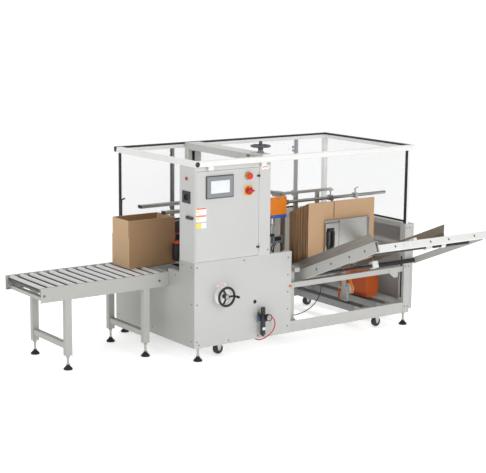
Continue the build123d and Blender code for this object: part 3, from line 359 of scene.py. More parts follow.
stud_steel = (-3000, -3000, 37), (3000, 3000, 110)
feet_black = moulded("moulded_pads", black, 0.5, [(*stud_steel, "A6A6A3", 0.3, 1.0)])
dress(feet_black, "levelling_feet")
dress(zinc("pressed_forks"), "caster_forks")
base_corners = ("front_left", "front_right", "rear_left", "rear_right")
wheels = ["caster_wheel_" + name for name in base_corners]
dress(moulded("nylon_tread", "1E1F21", 0.5), *wheels)
for name in wheels:
    low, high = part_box(name)
    middle = (low + high) / 2
    ends = [Vector((middle.x, high.y, middle.z)), Vector((middle.x, low.y, middle.z))]
    for tag, place, way in (("rear", ends[0], 1), ("front", ends[1], -1)):
        ring = [(6.4, 0.0), (6.4, 1.6), (9.5, 1.6), (10.6, 0.4), (10.6, 0.0), (6.4, 0.0)]
        verts, faces = turned_part(ring, (0, way, 0), [place], 24)
        build(name.replace("wheel", "washer") + "_" + tag, verts, faces, screw_zinc,
            name.replace("wheel_", ""))

# ---------------------------------------------------------------- control cabinet
# Folded sheet cabinet with a flush hinged door, in the same powder coat, and what is fitted to it.
cabinet_areas = [((55, 95, 780), (610, 165, 1345), "9A9C9E", 0.4, 0.2)]
dress(powder_coat("powder_coat_cabinet", "C4C5C3", cabinet_areas), "cabinet_box")
door_areas = [((530, -11, 780), (570, -2.2, 800), "222325", 0.35, 0.0)]
door_areas += [((530, -11, 1300), (570, -2.2, 1320), "222325", 0.35, 0.0)]
dress(powder_coat("powder_coat_door", "C2C3C2", door_areas), "cabinet_door")


def rounded_plate(name, centre, half_u, half_v, corner, thick, u, v, made, body):
    """Plate with rounded corners: outline point = corner centre + corner * (cos t, sin t),
    between two faces a thickness apart."""
    u, v = Vector(u), Vector(v)
    out = u.cross(v)
    t = np.linspace(0.0, 2 * np.pi, 32, endpoint=False)
    x = np.sign(np.cos(t)) * (half_u - corner) + corner * np.cos(t)
    y = np.sign(np.sin(t)) * (half_v - corner) + corner * np.sin(t)
    outline = (x[:, None] * np.array(u) + y[:, None] * np.array(v)) / 1000.0
    rows = [(0.0, 0.0), (1.0, 0.0), (1.0, thick * 0.7), (0.985, thick), (0.0, thick)]
    verts = np.array([np.array(centre) + outline * k + np.array(out) * h / 1000.0 for k, h in rows])
    return build(name, verts, grid_faces(len(rows), 32, 1, wrap=True), made, body)


# Operator panel: grey moulded bezel, dark edge, and a pale lit glass over the screen.
bezel_areas = [
    ((88, -12, 1168), (100, 1, 1340), "4A4C4F", 0.4, 0.0),
    ((320, -12, 1168), (332, 1, 1340), "4A4C4F", 0.4, 0.0),
    ((88, -12, 1168), (332, 1, 1182), "4A4C4F", 0.4, 0.0),
    ((88, -12, 1329), (332, 1, 1341), "4A4C4F", 0.4, 0.0),
]
dress(moulded("bezel_grey", "85888B", 0.38, bezel_areas), "hmi_panel")
glass_face, tree, shader, coords = material("screen_glass", "DCDFE2", 0.08, Specular_IOR_Level=0.6)
rows_on_screen = noise(tree, coords, 9.0, 1.0, (1.0, 1.0, 2.0))
tree.links.new(blend_colour(tree, spread(tree, rows_on_screen, 0.0, 0.5), "E6E8EA", "C6CACE"),
    shader.inputs["Base Color"])
rounded_plate("screen", spot(212.5, -7.4, 1255.5), 80.5, 44.5, 2.0, 0.6, (1, 0, 0), (0, 0, 1),
    glass_face, "cabinet_door")

# Emergency stop and main switch: glossy red on satin yellow plates. The main switch has a white
# pointer mark, and a zinc collar stands round the stop.
dress(moulded("yellow_plate", "E9B824", 0.35), "switch_plates")
dress(moulded("red_mushroom", "D22B26", 0.22, grain=300.0), "estop_button")
dress(moulded("red_switch", "B81F2B", 0.25,
    [((452, -42, 1236), (468, -19, 1250), "F0EEE8", 0.4, 0.0)], 300.0), "main_switch_knob")
white_print, tree, shader, coords = material("white_print", "EDEBE4", 0.5)
tree.links.new(spread(tree, noise(tree, coords, 200.0), 0.42, 0.58), shader.inputs["Roughness"])
collar = [(26.4, 0.0), (26.4, 2.2), (28.2, 2.2), (29.2, 1.2), (29.2, 0.0), (26.4, 0.0)]
verts, faces = turned_part(collar, (0, -1, 0), [spot(459, 0, 1316)], 40)
build("stop_collar", verts, faces, screw_zinc, "cabinet_door")

# Pilot lamp, power socket and latch on the left wall.
lamp_areas = [
    ((-12, 88, 1300), (1, 120, 1332), "C22A24", 0.18, 0.0),
    ((-2.6, 88, 1300), (0.5, 120, 1332), "9A9A98", 0.3, 1.0),
]
dress(moulded("socket_black", "1B1C1E", 0.38, lamp_areas), "side_fittings")
dress(moulded("latch_black", "232427", 0.35), "side_latch")

# Stickers: coloured bands with no lettering, on the door, the fixed strip and by the hand wheel.
sheets = {
    "white": ("F5F4EF", (
        (55.0, 1092.0, 43.0, 26.0, 0.0),
        (55.0, 1041.0, 43.0, 22.0, 0.0),
        (78.0, 989.0, 20.0, 18.0, 0.0),
    )),
    "orange": ("E4552E", (
        (55.0, 1111.0, 42.0, 5.5, 0.15),
        (55.0, 1057.0, 42.0, 5.0, 0.15),
    )),
    "yellow": ("E6D23C", (
        (34.0, 989.0, 22.0, 18.0, 0.0),
        (26.0, 1089.0, 10.0, 9.0, 0.15),
        (26.0, 1038.0, 10.0, 9.0, 0.15),
    )),
}
for label, (code, spots) in sheets.items():
    sheet, tree, shader, coords = material("sticker_" + label, code, 0.42)
    shade = spread(tree, noise(tree, coords, 120.0), 0.0, 0.12)
    tree.links.new(blend_colour(tree, shade, code, "FFFFFF"), shader.inputs["Base Color"])
    for index, (x, z, wide, half, proud) in enumerate(spots):
        name = "sticker_" + label + "_" + str(index)
        rounded_plate(name, spot(x, -proud, z), wide, half, 2.0, 0.25, (1, 0, 0), (0, 0, 1), sheet,
            "cabinet_door")


def arc_band(name, centre, inner, outer, start, stop, made, body, proud=0.3):
    """Flat arc on a front wall: point = centre + r * (cos t, sin t) between two radii and two
    angles."""
    t = np.radians(np.linspace(start, stop, 24))
    loops = [(inner, 0.0), (inner, proud), (outer, proud), (outer, 0.0), (inner, 0.0)]
    rings = [np.stack([r * np.cos(t), np.full(24, -h), r * np.sin(t)], -1) for r, h in loops]
    verts = np.array(rings) / 1000.0 + np.array(centre)
    ends = [[0, 24, 48, 72], [23, 47, 71, 95]]
    return build(name, verts, grid_faces(5, 24).tolist() + ends, made, body)


arc_red, tree, shader, coords = material("sticker_red", "D8432F", 0.45)
tree.links.new(spread(tree, noise(tree, coords, 200.0), 0.38, 0.55), shader.inputs["Roughness"])
arc_band("strip_sticker", spot(610, 0, 1318), 38.0, 62.0, 52.0, 128.0, white_print, "machine")
arc_band("strip_arrow", spot(610, -0.3, 1318), 50.0, 56.0, 62.0, 118.0, arc_red, "machine", 0.15)
wheel_axis = spot(238, 0, 466)
arc_band("wheel_sticker", wheel_axis, 74.0, 90.0, 66.0, 122.0, white_print, "machine")
arc_band("wheel_arrow", spot(238, -0.3, 466), 80.0, 85.0, 74.0, 114.0, arc_red, "machine", 0.15)

# ---------------------------------------------------------------- front hand wheel
# Black moulded wheel with a machined bright hub face, on the adjusting spindle. Behind it are a
# white moulded dial plate and a steel bearing, and a free turning grip stands on its rim.
wheel_areas = [((225, -68, 452), (251, -65, 480), "9C9C9A", 0.25, 1.0)]
dress(moulded("wheel_black", "0C0D0F", 0.3, wheel_areas), "front_handwheel")
dress(moulded("grip_black", "0C0D0F", 0.25), "crank_grip")
dial_steel = zinc("dial_plate", "F4F4F2", 0.3)
dial = [(17.0, 0.2), (17.0, 2.0), (62.0, 2.0), (66.0, 1.2), (66.0, 0.2), (17.0, 0.2)]
verts, faces = turned_part(dial, (0, -1, 0), [wheel_axis], 72)
build("wheel_dial", verts, faces, moulded("dial_white", "E6E6E3", 0.35), "machine")
boss = [(9.0, 1.8), (13.0, 1.8), (24.0, 2.4), (20.0, 28.0), (9.2, 30.0), (9.0, 1.8)]
verts, faces = turned_part(boss, (0, -1, 0), [wheel_axis], 40)
build("wheel_bearing", verts, faces, dial_steel, "machine")

# ---------------------------------------------------------------- air preparation unit
# Regulator with a gauge and a filter bowl, in dark moulded plastic, on a bracket; the red tube
# leaves it and goes under the base to an inlet block.
air_areas = [
    ((550, -4.5, 224), (600, 1, 301), "B9BABB", 0.35, 0.8),
    ((553, -64, 213), (597, -20, 242), "25282C", 0.35, 0.0),
    ((555, -62, 150), (595, -22, 205), "26292B", 0.12, 0.0),
    ((562, -64, 176), (588, -40, 196), "DADAD4", 0.4, 0.0),
    ((525, -60, 250), (541, -24, 276), "2F55A4", 0.3, 0.0),
    ((613, -60, 254), (625, -24, 272), "2F55A4", 0.3, 0.0),
]
dress(moulded("regulator_body", "1B1D1F", 0.35, air_areas), "air_unit")
dress(moulded("knob_black", "1B1C1F", 0.35), "regulator_knob")
cap_rubber = moulded("bezel_black", "141517", 0.35)
dial_face, tree, shader, coords = material("gauge_face", "A5A198", 0.3)
centred = add(tree, "VectorMath", {0: coords, 1: spot(605, -80, 268)},
    operation="SUBTRACT").outputs[0]
split = add(tree, "SeparateXYZ", {0: centred})
turn = add(tree, "Math", {0: split.outputs[2], 1: split.outputs[0]}, operation="ARCTAN2").outputs[0]
beat = add(tree, "Math", {0: turn, 1: 20.0}, operation="MULTIPLY").outputs[0]
swing = add(tree, "Math", {0: beat}, operation="COSINE").outputs[0]
tick = add(tree, "Math", {0: swing, 1: 0.8}, operation="GREATER_THAN").outputs[0]
far_out = add(tree, "VectorMath", {0: centred}, operation="LENGTH").outputs["Value"]
rim = add(tree, "Math", {0: far_out, 1: 0.0145}, operation="GREATER_THAN").outputs[0]
low_gap = add(tree, "Math", {0: split.outputs[2], 1: -0.012}, operation="GREATER_THAN").outputs[0]
marks = add(tree, "Math", {0: tick, 1: rim}, operation="MULTIPLY").outputs[0]
marks = add(tree, "Math", {0: marks, 1: low_gap}, operation="MULTIPLY").outputs[0]
tree.links.new(blend_colour(tree, marks, "A5A198", "20211F"), shader.inputs["Base Color"])
gauge_face = spot(605, -79.6, 268)
gauge_rim = [(20.5, -1.5), (25.0, -1.5), (26.0, 0.0), (25.0, 2.2), (21.5, 2.2), (20.5, 0.4),
    (20.5, -1.5)]
verts, faces = turned_part(gauge_rim, (0, -1, 0), [gauge_face], 40)
build("gauge_bezel", verts, faces, cap_rubber, "machine")
disc = [(0.0, 0.0), (20.4, 0.0), (20.4, 0.6), (0.0, 0.6)]
verts, faces = turned_part(disc, (0, -1, 0), [gauge_face], 40)
build("gauge_dial", verts, faces, dial_face, "machine")
tilt = np.array([[0.8, 0, -0.6], [0, 1, 0], [0.6, 0, 0.8]])
needle = np.array([(0, 0, -5), (1.1, 0, 0), (0, 0, 17), (-1.1, 0, 0)]) @ tilt.T
needle = np.concatenate([needle + (0, -0.9, 0), needle + (0, -0.5, 0)])
needle = needle / 1000.0 + np.array(spot(605, -79.9, 268))
sides = [(0, 1, 2, 3), (4, 5, 6, 7), (0, 1, 5, 4), (1, 2, 6, 5), (2, 3, 7, 6), (3, 0, 4, 7)]
build("gauge_needle", needle, sides, feet_black, "machine", 20.0)


def tube_skin(name, code, rough, length_scale):
    """Extruded tube: glossy skin with a fine streak along it and slight colour drift."""
    made, tree, shader, coords = material(name, code, rough, Specular_IOR_Level=0.5,
        Coat_Weight=0.2)
    drift = spread(tree, noise(tree, coords, length_scale, 3.0), 0.0, 0.2)
    tree.links.new(blend_colour(tree, drift, code, "000000"), shader.inputs["Base Color"])
    bump(tree, shader, noise(tree, coords, 1200.0, 1.0), 0.06, 0.0002)
    return made


dress(tube_skin("red_tube", "C62A22", 0.22, 18.0), "air_hose")

# ---------------------------------------------------------------- column, crossbeam and lift
# Folded sheet column and beam in the frame's colour, the zinc lead screw with its black wheel, the
# steel crossbar that it lifts, and two anodised press rails with black end caps.
beam_areas = [
    ((615, 940, 828), (640, 972, 1388), "1C1D1F", 0.6, 0.0),
    ((660, 139, 1436), (716, 191, 1480), "9C9D9E", 0.35, 0.6),
]
dress(powder_coat("powder_coat_beam", "C9C9C6", beam_areas), "crossbeam_column")
top_wheel_areas = [((677, 154, 900), (699, 176, 1474), "A8A8A6", 0.28, 1.0)]
dress(moulded("top_wheel_grey", "4B4E55", 0.3, top_wheel_areas), "top_handwheel")


def drawn_metal(name, code, rough, stretch, areas=()):
    """Brushed or drawn metal: streaks across the stretched axis in gloss, shade and relief."""
    made, tree, shader, coords = material(name, code, rough, 1.0)
    streak = noise(tree, coords, 160.0, 4.0, stretch)
    tone = blend_colour(tree, spread(tree, streak, 0.0, 0.35), code, "5E5E5C")
    gloss = spread(tree, streak, rough - 0.1, rough + 0.14)
    patches(tree, shader, coords, tone, gloss, 1.0, areas)
    bump(tree, shader, streak, 0.1, 0.0003)
    return made


dress(drawn_metal("crossbar_steel", "B4B4B2", 0.34, (1, 0.05, 1)), "lift_carriage")
cap_areas = [((60, 500, 990), (77, 880, 1030), "17181A", 0.45, 0.0)]
dress(drawn_metal("anodised_rail", "DADAD8", 0.36, (0.04, 1, 1), cap_areas), "press_rails")

# ---------------------------------------------------------------- guard
# White coated aluminium profile with black rubber gaskets along its rear and right edges, black
# end caps, black hinges, and clear polycarbonate panels and doors.
rubber = ("1A1B1D", 0.6, 0.0)
guard_areas = [
    ((-30, 1017, 1438), (2030, 1063, 1452), *rubber),
    ((1985, -6, 1438), (2031, 1063, 1452), *rubber),
    ((1996, 2, 822), (2004, 32, 1412), *rubber),
    ((460, 1048, 930), (500, 1080, 1000), *rubber),
    ((460, 1048, 1300), (500, 1080, 1360), *rubber),
    ((1680, 1048, 930), (1720, 1080, 1000), *rubber),
    ((1680, 1048, 1300), (1720, 1080, 1360), *rubber),
    ((2, 1018, 830), (18, 1060, 1412), *rubber),
    ((468, 1010, 830), (496, 1065, 1410), "2C2D2F", 0.4, 0.0),
    ((478, 1010, 830), (486, 1065, 1410), "B4B4B3", 0.4, 0.0),
    ((1688, 1010, 830), (1716, 1065, 1410), "9B9C9D", 0.4, 0.0),
    ((1078, 1010, 830), (1106, 1065, 1410), "9B9C9D", 0.4, 0.0),
    ((-9, 1040, 830), (14, 1060, 1412), *rubber),
    ((96, -9.5, 1379), (141, 1, 1409), "B9B9B6", 0.4, 0.6),
    ((556, -9.5, 1379), (601, 1, 1409), "B9B9B6", 0.4, 0.6),
]
dress(powder_coat("white_profile", "E9E9E7", guard_areas, 0.3), "guard_frame")
cap = [(0.0, 3.5), (13.0, 3.2), (17.5, 1.6), (19.0, 0.0), (19.0, -1.0), (0.0, -1.0)]
cap_black = moulded("cap_black", "151618", 0.3)
for name, place, way in (
    ("cap_left_front", spot(-8, -48, 1430), (0, -1, 0)),
    ("cap_left_rear", spot(-8, 1060, 1430), (0, 1, 0)),
    ("cap_right_end", spot(2028, -28, 1430), (1, 0, 0)),
    ("cap_left_end", spot(-28, 1040, 1430), (-1, 0, 0)),
    ("cap_right_rear", spot(2028, 1040, 1430), (1, 0, 0)),
):
    verts, faces = turned_part(cap, way, [place], 32)
    build(name, verts, faces, cap_black, "machine")

clear, tree, shader, coords = material("clear_polycarbonate", "E4E8E9", 0.04, Alpha=0.13,
    Specular_IOR_Level=0.5)
tree.links.new(spread(tree, noise(tree, coords, 4.0, 2.0), 0.02, 0.09), shader.inputs["Roughness"])
dress(clear, "guard_glazing", "guard_door_left", "guard_door_right")


def strip(name, start, end, wide, deep, made, body, side=(0, 0, 1)):
    """Seal strip: a rounded rectangle swept in a straight line; point = along the line + p *
    side + q * across."""
    start, end, side = np.array(start), np.array(end), np.array(side, float)
    along = (end - start) / np.linalg.norm(end - start)
    across = np.cross(along, side)
    t = np.linspace(0, 2 * np.pi, 16, endpoint=False)
    p = np.sign(np.cos(t)) * np.abs(np.cos(t)) ** 0.35 * wide / 2000.0
    q = np.sign(np.sin(t)) * np.abs(np.sin(t)) ** 0.35 * deep / 2000.0
    loop = p[:, None] * side + q[:, None] * across
    rows = [(start, 0.0), (start, 1.0), (end, 1.0), (end, 0.0)]
    verts = np.array([place + loop * k for place, k in rows])
    return build(name, verts, grid_faces(4, 16, 1, wrap=True), made, body)


gasket = moulded("gasket_rubber", "161719", 0.65)
rear_seal = 1038.5
strip("seal_right_bottom", spot(2010, 32, 841), spot(2010, 1020, 841), 14, 10, gasket, "machine")
strip("seal_right_front", spot(2010, 31, 848), spot(2010, 31, 1408), 8, 10, gasket, "machine",
    (0, 1, 0))
rear_doors = (
    ("left", 500, 1088, "guard_door_left"),
    ("right", 1096, 1684, "guard_door_right"),
)
for name, x0, x1, body in rear_doors:
    strip("seal_door_" + name, spot(x0, rear_seal, 850), spot(x1, rear_seal, 850), 14, 9, gasket,
        body)
strip("seal_rear_left", spot(40, rear_seal, 843), spot(468, rear_seal, 843), 14, 9, gasket,
    "machine")

# ---------------------------------------------------------------- outfeed table
# Folded steel rails on two welded leg frames in the panel colour, and thirteen ground tube rollers
# on fixed shafts, with a bright reflective finish; their undersides and lower flanks are painted
# dark as shade.
dress(powder_coat("powder_coat_table", "ABABA7"), "conveyor_frame")
rollers = ["roller_%02d" % k for k in range(1, 14)]
made, tree, shader, coords = material("ground_tube", "EDEDEC", 0.3, 0.35)
streak = noise(tree, coords, 90.0, 3.0, (1, 0.04, 1))
tone = blend_colour(tree, spread(tree, streak, 0.0, 0.2), "EDEDEC", "B9B9B7")
# Painted shade: the rollers' faces that turn downwards are coloured near black by their normal.
facing = add(tree, "SeparateXYZ", {0: add(tree, "NewGeometry").outputs["Normal"]}).outputs[2]
painted_underside_shade = add(tree, "MapRange",
    {"Value": facing, "From Min": 0.38, "From Max": 0.56, "To Min": 1.0, "To Max": 0.0})
tree.links.new(blend_colour(tree, painted_underside_shade.outputs[0], tone, "2A2928"), shader.inputs["Base Color"])
tree.links.new(spread(tree, streak, 0.24, 0.4), shader.inputs["Roughness"])
dress(made, *rollers)
hex_head = [(0.0, 4.5), (5.0, 4.5), (6.4, 3.6), (6.4, 1.2), (9.0, 1.0), (9.0, -0.5), (0.0, -0.5)]
verts, faces = turned_part(hex_head, (0, -1, 0), [spot(x, 335, 551) for x in (-1007, -80)], 18)
build("table_bolts_front", verts, faces, screw_zinc, "machine")
verts, faces = turned_part(hex_head, (0, 1, 0), [spot(x, 880, 551) for x in (-1007, -80)], 18)
build("table_bolts_rear", verts, faces, screw_zinc, "machine")

# ---------------------------------------------------------------- side belts and tape head
# Black belts round narrow housings with an orange cover on top, geared motors, and the plated tape
# head under the bed plate.
near_areas = [
    ((170, 500, 768), (872, 590, 784), "D8511F", 0.4, 0.0),
    ((560, 505, 779), (680, 585, 875), "5B5F63", 0.4, 0.3),
    ((170, 512, 540), (872, 575, 630), "77797B", 0.4, 0.6),
]
dress(moulded("belt_black_near", "202123", 0.55, near_areas, 400.0), "belt_unit_near")
far_areas = [
    ((170, 830, 768), (872, 930, 784), "D8511F", 0.4, 0.0),
    ((360, 840, 779), (480, 930, 875), "5B5F63", 0.4, 0.3),
    ((170, 855, 540), (872, 905, 630), "77797B", 0.4, 0.6),
]
dress(moulded("belt_black_far", "202123", 0.55, far_areas, 400.0), "belt_unit_far")
dress(drawn_metal("tape_plates", "8C8C8A", 0.4, (0.06, 1, 1)), "tape_head")

# ---------------------------------------------------------------- blank hopper
# Painted box beam and crossbars, black coated slide rods under sleeves and bellows, plated guide
# sheets with white slide blocks, and the brushed pusher plate with its black oval pull. Painted
# light and shade: the crossbar is lighter than the rest of the frame, the guide sheets are tinted
# brown as a reflection of the cartons, and a grey strip on the pusher is the shadow line between
# its panels.
fall = math.radians(22.5)
down = Vector((0.0, math.cos(fall), -math.sin(fall)))
square = Vector((0.0, math.sin(fall), math.cos(fall)))
lower_rod, upper_rod, rod_height = 6.0, -628.0, -60.0
rod_bore = 12.4


def tray_spot(u, v, w):
    """Point of the sloping tray: u along the machine, v down the fall, w square to it."""
    place = spot(0, 0, 585) + Vector((u / 1000.0, 0, 0))
    return place + down * (v / 1000.0) + square * (w / 1000.0)


made, tree, shader, coords = material("hopper_paint", "D2D2CB", 0.42, Coat_Weight=0.08)
# The crossbar is coloured light as lit and the rest of the frame darker as shaded: painted light
# and shade in one paint.
from_bar = add(tree, "VectorMath", {0: coords, 1: tray_spot(0, -775, 0)}, operation="SUBTRACT")
outer = add(tree, "VectorMath", {0: from_bar.outputs[0], 1: down}, operation="DOT_PRODUCT")
outer = outer.outputs["Value"]
lit_bar_mask = add(tree, "Math", {0: outer, 1: 0.0}, operation="LESS_THAN").outputs[0]
along_machine = add(tree, "SeparateXYZ", {0: coords}).outputs[0]
past = add(tree, "Math", {0: along_machine, 1: 0.974}, operation="GREATER_THAN").outputs[0]
lit_bar_mask = add(tree, "Math", {0: lit_bar_mask, 1: past}, operation="MULTIPLY").outputs[0]
colour = blend_colour(tree, lit_bar_mask, "B5B5B1", "E0E0DE")
colour = blend_colour(tree, spread(tree, noise(tree, coords, 5.0, 3.0), 0.0, 0.25), colour,
    "A2A29C")
gloss = spread(tree, noise(tree, coords, 60.0), 0.36, 0.5)
for v in (lower_rod, upper_rod):
    axis_point = tray_spot(0, v, rod_height)
    moved = add(tree, "VectorMath", {0: coords, 1: axis_point}, operation="SUBTRACT").outputs[0]
    flat = add(tree, "VectorMath", {0: moved, 1: (0.0, 1.0, 1.0)}, operation="MULTIPLY").outputs[0]
    off_axis = add(tree, "VectorMath", {0: flat}, operation="LENGTH").outputs["Value"]
    near_rod = add(tree, "Math", {0: off_axis, 1: 0.0126}, operation="LESS_THAN").outputs[0]
    along_machine = add(tree, "SeparateXYZ", {0: coords}).outputs[0]
    along_rod = add(tree, "Math", {0: along_machine, 1: 0.98}, operation="GREATER_THAN").outputs[0]
    on_rod = add(tree, "Math", {0: near_rod, 1: along_rod}, operation="MULTIPLY").outputs[0]
    colour = blend_colour(tree, on_rod, colour, "1B1C1E")
    gloss = add(tree, "MapRange", {"Value": on_rod, "To Min": gloss, "To Max": 0.3}).outputs[0]
tree.links.new(colour, shader.inputs["Base Color"])
tree.links.new(gloss, shader.inputs["Roughness"])
bump(tree, shader, noise(tree, coords, 820.0), 0.16, 0.0004)
dress(made, "hopper_frame")
# Both guide sheets are tinted brown as a painted reflection of the cartons in the metal.
dress(drawn_metal("guide_sheet", "9A948C", 0.42, (1, 0.05, 0.05)), "hopper_guide_left")
made, tree, shader, coords = material("guide_and_blocks", "9A948C", 0.42, 1.0)
streak = noise(tree, coords, 160.0, 4.0, (1, 0.05, 0.05))
tone = blend_colour(tree, spread(tree, streak, 0.0, 0.35), "9E988F", "757067")
from_tray = add(tree, "VectorMath", {0: coords, 1: tray_spot(0, 0, 0)}, operation="SUBTRACT")
height = add(tree, "VectorMath", {0: from_tray.outputs[0], 1: square}, operation="DOT_PRODUCT")
height = height.outputs["Value"]
block = add(tree, "Math", {0: height, 1: -0.0266}, operation="LESS_THAN").outputs[0]
tree.links.new(blend_colour(tree, block, tone, "E4E4E0"), shader.inputs["Base Color"])
plated = add(tree, "MapRange", {"Value": block, "To Min": 1.0, "To Max": 0.0}).outputs[0]
tree.links.new(plated, shader.inputs["Metallic"])
tree.links.new(spread(tree, streak, 0.34, 0.54), shader.inputs["Roughness"])
dress(made, "hopper_guide_right")
# The grey strip from 1287 to 1304 is a painted shadow line between the pusher's panels; the black
# area is its pull.
pusher_areas = [
    ((1168, -46, 700), (1242, -29.5, 870), "1A1B1D", 0.3, 0.0),
    ((1287, -18, 640), (1304, -10, 927), "6E6E6C", 0.45, 1.0),
    ((1340, -110, 560), (1420, 20, 640), "77797B", 0.4, 0.8),
]
dress(drawn_metal("brushed_pusher", "C4C3BF", 0.3, (1, 1, 0.06), pusher_areas), "blank_pusher")
block_white = moulded("block_white", "E2E2DE", 0.4)
sleeve_black = moulded("bellows_black", "1B1C1E", 0.5)
rod_parts = (
    ("rod_sleeve", 1694.0, 1788.0, 16.0, sleeve_black),
    ("rod_block", 1790.0, 1832.0, 21.0, block_white),
)
for name, start, end, outer, made in rod_parts:
    length = end - start
    ring = [(rod_bore, 0.0), (rod_bore, length), (outer - 1, length), (outer, length - 1)]
    ring += [(outer, 1.0), (outer - 1, 0.0), (rod_bore, 0.0)]
    verts, faces = turned_part(ring, (1, 0, 0), [tray_spot(start, upper_rod, rod_height)], 32)
    build(name, verts, faces, made, "hopper_guide")


def bellows(name, start, end, v):
    """Pleated sleeve on a slide rod: radius swings between two values along its length."""
    pleats = int((end - start) / 9.0)
    h = np.linspace(0.0, end - start, 2 * pleats + 1)
    r = np.where(np.arange(len(h)) % 2 == 0, 13.4, 17.5)
    profile = [(12.5, end - start), (12.5, 0.0)] + list(zip(r, h)) + [(12.5, end - start)]
    verts, faces = turned_part(profile, (1, 0, 0), [tray_spot(start, v, rod_height)], 32)
    sleeve = build(name, verts, faces, sleeve_black, "machine", 20.0)
    tuple(tray_spot(end, v, -60.0))
    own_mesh(sleeve)


small_hex = [(0.0, 3.6), (4.2, 3.6), (5.4, 2.8), (5.4, 1.0), (8.0, 0.8), (8.0, -0.4), (0.0, -0.4)]
hopper_bolts = [tray_spot(1000, v, -40.0) for v in (-700.0, -520.0, -300.0, -120.0)]
verts, faces = turned_part(small_hex, (-1, 0, 0), hopper_bolts, 18)
build("hopper_beam_bolts", verts, faces, screw_zinc, "machine")
bar_bolts = [tray_spot(u, -826.0, -53.0) for u in (1180.0, 1520.0, 1700.0, 1960.0, 2100.0)]
verts, faces = turned_part(small_hex, tuple(-down), bar_bolts, 18)
build("hopper_bar_bolts", verts, faces, screw_zinc, "machine")
crossbar_face = 2078.0
bellows("bellows_lower", 1694.0, crossbar_face, lower_rod)
bellows("bellows_upper", 1834.0, crossbar_face, upper_rod)


def bent_tube(name, points, radius, made, body):
    """Round bar along a smooth curve: point = curve + radius * (cos t * side + sin t * lift),
    ends closed by small rings."""
    knots = np.array([np.array(p) for p in points])
    for _ in range(3):
        cut = [knots[0]]
        for a, b in zip(knots[:-1], knots[1:]):
            cut += [0.75 * a + 0.25 * b, 0.25 * a + 0.75 * b]
        knots = np.array([*cut, knots[-1]])
    along = np.gradient(knots, axis=0)
    along /= np.linalg.norm(along, axis=1)[:, None]
    side = np.cross(along[0], (0.31, 0.52, 0.79))
    t = np.linspace(0, 2 * np.pi, 14, endpoint=False)
    rows = []
    for index, (place, way) in enumerate(zip(knots, along)):
        side = side - way * side.dot(way)
        side /= np.linalg.norm(side)
        ring = np.cos(t)[:, None] * side + np.sin(t)[:, None] * np.cross(way, side)
        if index == 0:
            rows.append(place + ring * 0.0)
        rows.append(place + ring * radius / 1000.0)
    rows.append(knots[-1] + ring * 0.0)
    return build(name, np.array(rows), grid_faces(len(rows), 14, 1, wrap=True), made, body)


handle_bends = (
    (2100.0, -77.0), (2100.0, -92.0), (2102.0, -110.0),
    (2134.0, -110.0), (2136.0, -92.0), (2136.0, -77.0),
)
hang = [tray_spot(u, -801.0, w) for u, w in handle_bends]
bent_tube("crossbar_handle", hang, 5.0, sleeve_black, "machine")

# ---------------------------------------------------------------- gate and suction arm
# Anodised uprights and beam, drawn hold-down bar with clamp blocks; the arm carries an orange
# plate, a pale cylinder and black rubber cups on aluminium drop arms.
dress(drawn_metal("gate_bar", "B9B9B7", 0.32, (0.05, 1, 1)), "blank_gate")
arm_areas = [
    ((728, 208, 960), (975, 219, 1102), "E27E1C", 0.35, 0.0),
    ((828, 210, 790), (872, 262, 822), "1A1B1D", 0.5, 0.0),
    ((1120, 225, 800), (1180, 262.5, 950), "1A1B1D", 0.55, 0.0),
    ((1330, 225, 800), (1390, 262.5, 950), "1A1B1D", 0.55, 0.0),
]
dress(drawn_metal("arm_aluminium", "C2C2C0", 0.34, (1, 1, 0.06), arm_areas), "suction_arm")
verts, faces = turned_part(pan_head, (0, -1, 0), [spot(x, 212, 1085) for x in (750, 822, 894, 958)])
build("plate_screws", verts, faces, screw_zinc, "suction_arm")
blue_band = moulded("blue_band", "2D5BB0", 0.3)
strip("plate_band", spot(732, 214, 952), spot(970, 214, 952), 24, 8, blue_band, "suction_arm")
strip("air_riser", spot(810, 230, 800), spot(810, 230, 965), 8, 8,
    tube_skin("orange_tube", "DD5A23", 0.25, 20.0), "suction_arm", (0, 1, 0))

# What is fitted beside the arm: a grey valve block on the gate's upright with its black leads, grey
# end caps on the pale cylinder, a black sensor rod at the outlet and an orange plug in front.
valve_grey = moulded("valve_grey", "7D8389", 0.4)
lead_black = tube_skin("lead_black", "17181A", 0.45, 30.0)
strip("valve_block", spot(892, 280, 762), spot(977.5, 280, 762), 56, 30, valve_grey, "machine")
strip("valve_cover", spot(905, 262, 770), spot(960, 262, 770), 30, 12, lead_black, "machine")
for index, (start, dip, end) in enumerate(((905, 690, 948), (925, 668, 960))):
    path = [
        spot(start, 276, 735), spot(start - 30, 262, 712), spot(start - 46, 248, dip),
        spot(start, 240, dip - 40), spot(end, 258, 640), spot(end + 20, 274, 636),
    ]
    bent_tube("valve_lead_" + str(index), path, 5.0, lead_black, "machine")
cap_ring = [(24.2, 0.0), (26.5, 0.6), (26.5, 12.0), (24.2, 12.6), (24.2, 0.0)]
verts, faces = turned_part(cap_ring, (0, 0, 1), [spot(850, 236, 884), spot(850, 236, 950)], 32)
build("cylinder_caps", verts, faces, valve_grey, "suction_arm")
rod_path = [spot(-67, 886, 560), spot(-67, 886, 900), spot(-67, 886, 1060), spot(-62, 886, 1072),
    spot(-40, 880, 1078)]
bent_tube("sensor_rod", rod_path, 6.0, lead_black, "machine")
knob = [(0.0, 0.0), (8.0, 0.0), (8.0, 10.0), (6.0, 12.0), (4.0, 12.5), (4.0, 22.0), (0.0, 22.0)]
verts, faces = turned_part(knob, (0, -1, 0), [spot(852, 0, 462)], 28)
build("orange_plug", verts, faces, moulded("plug_orange", "DC6A1E", 0.35), "machine")

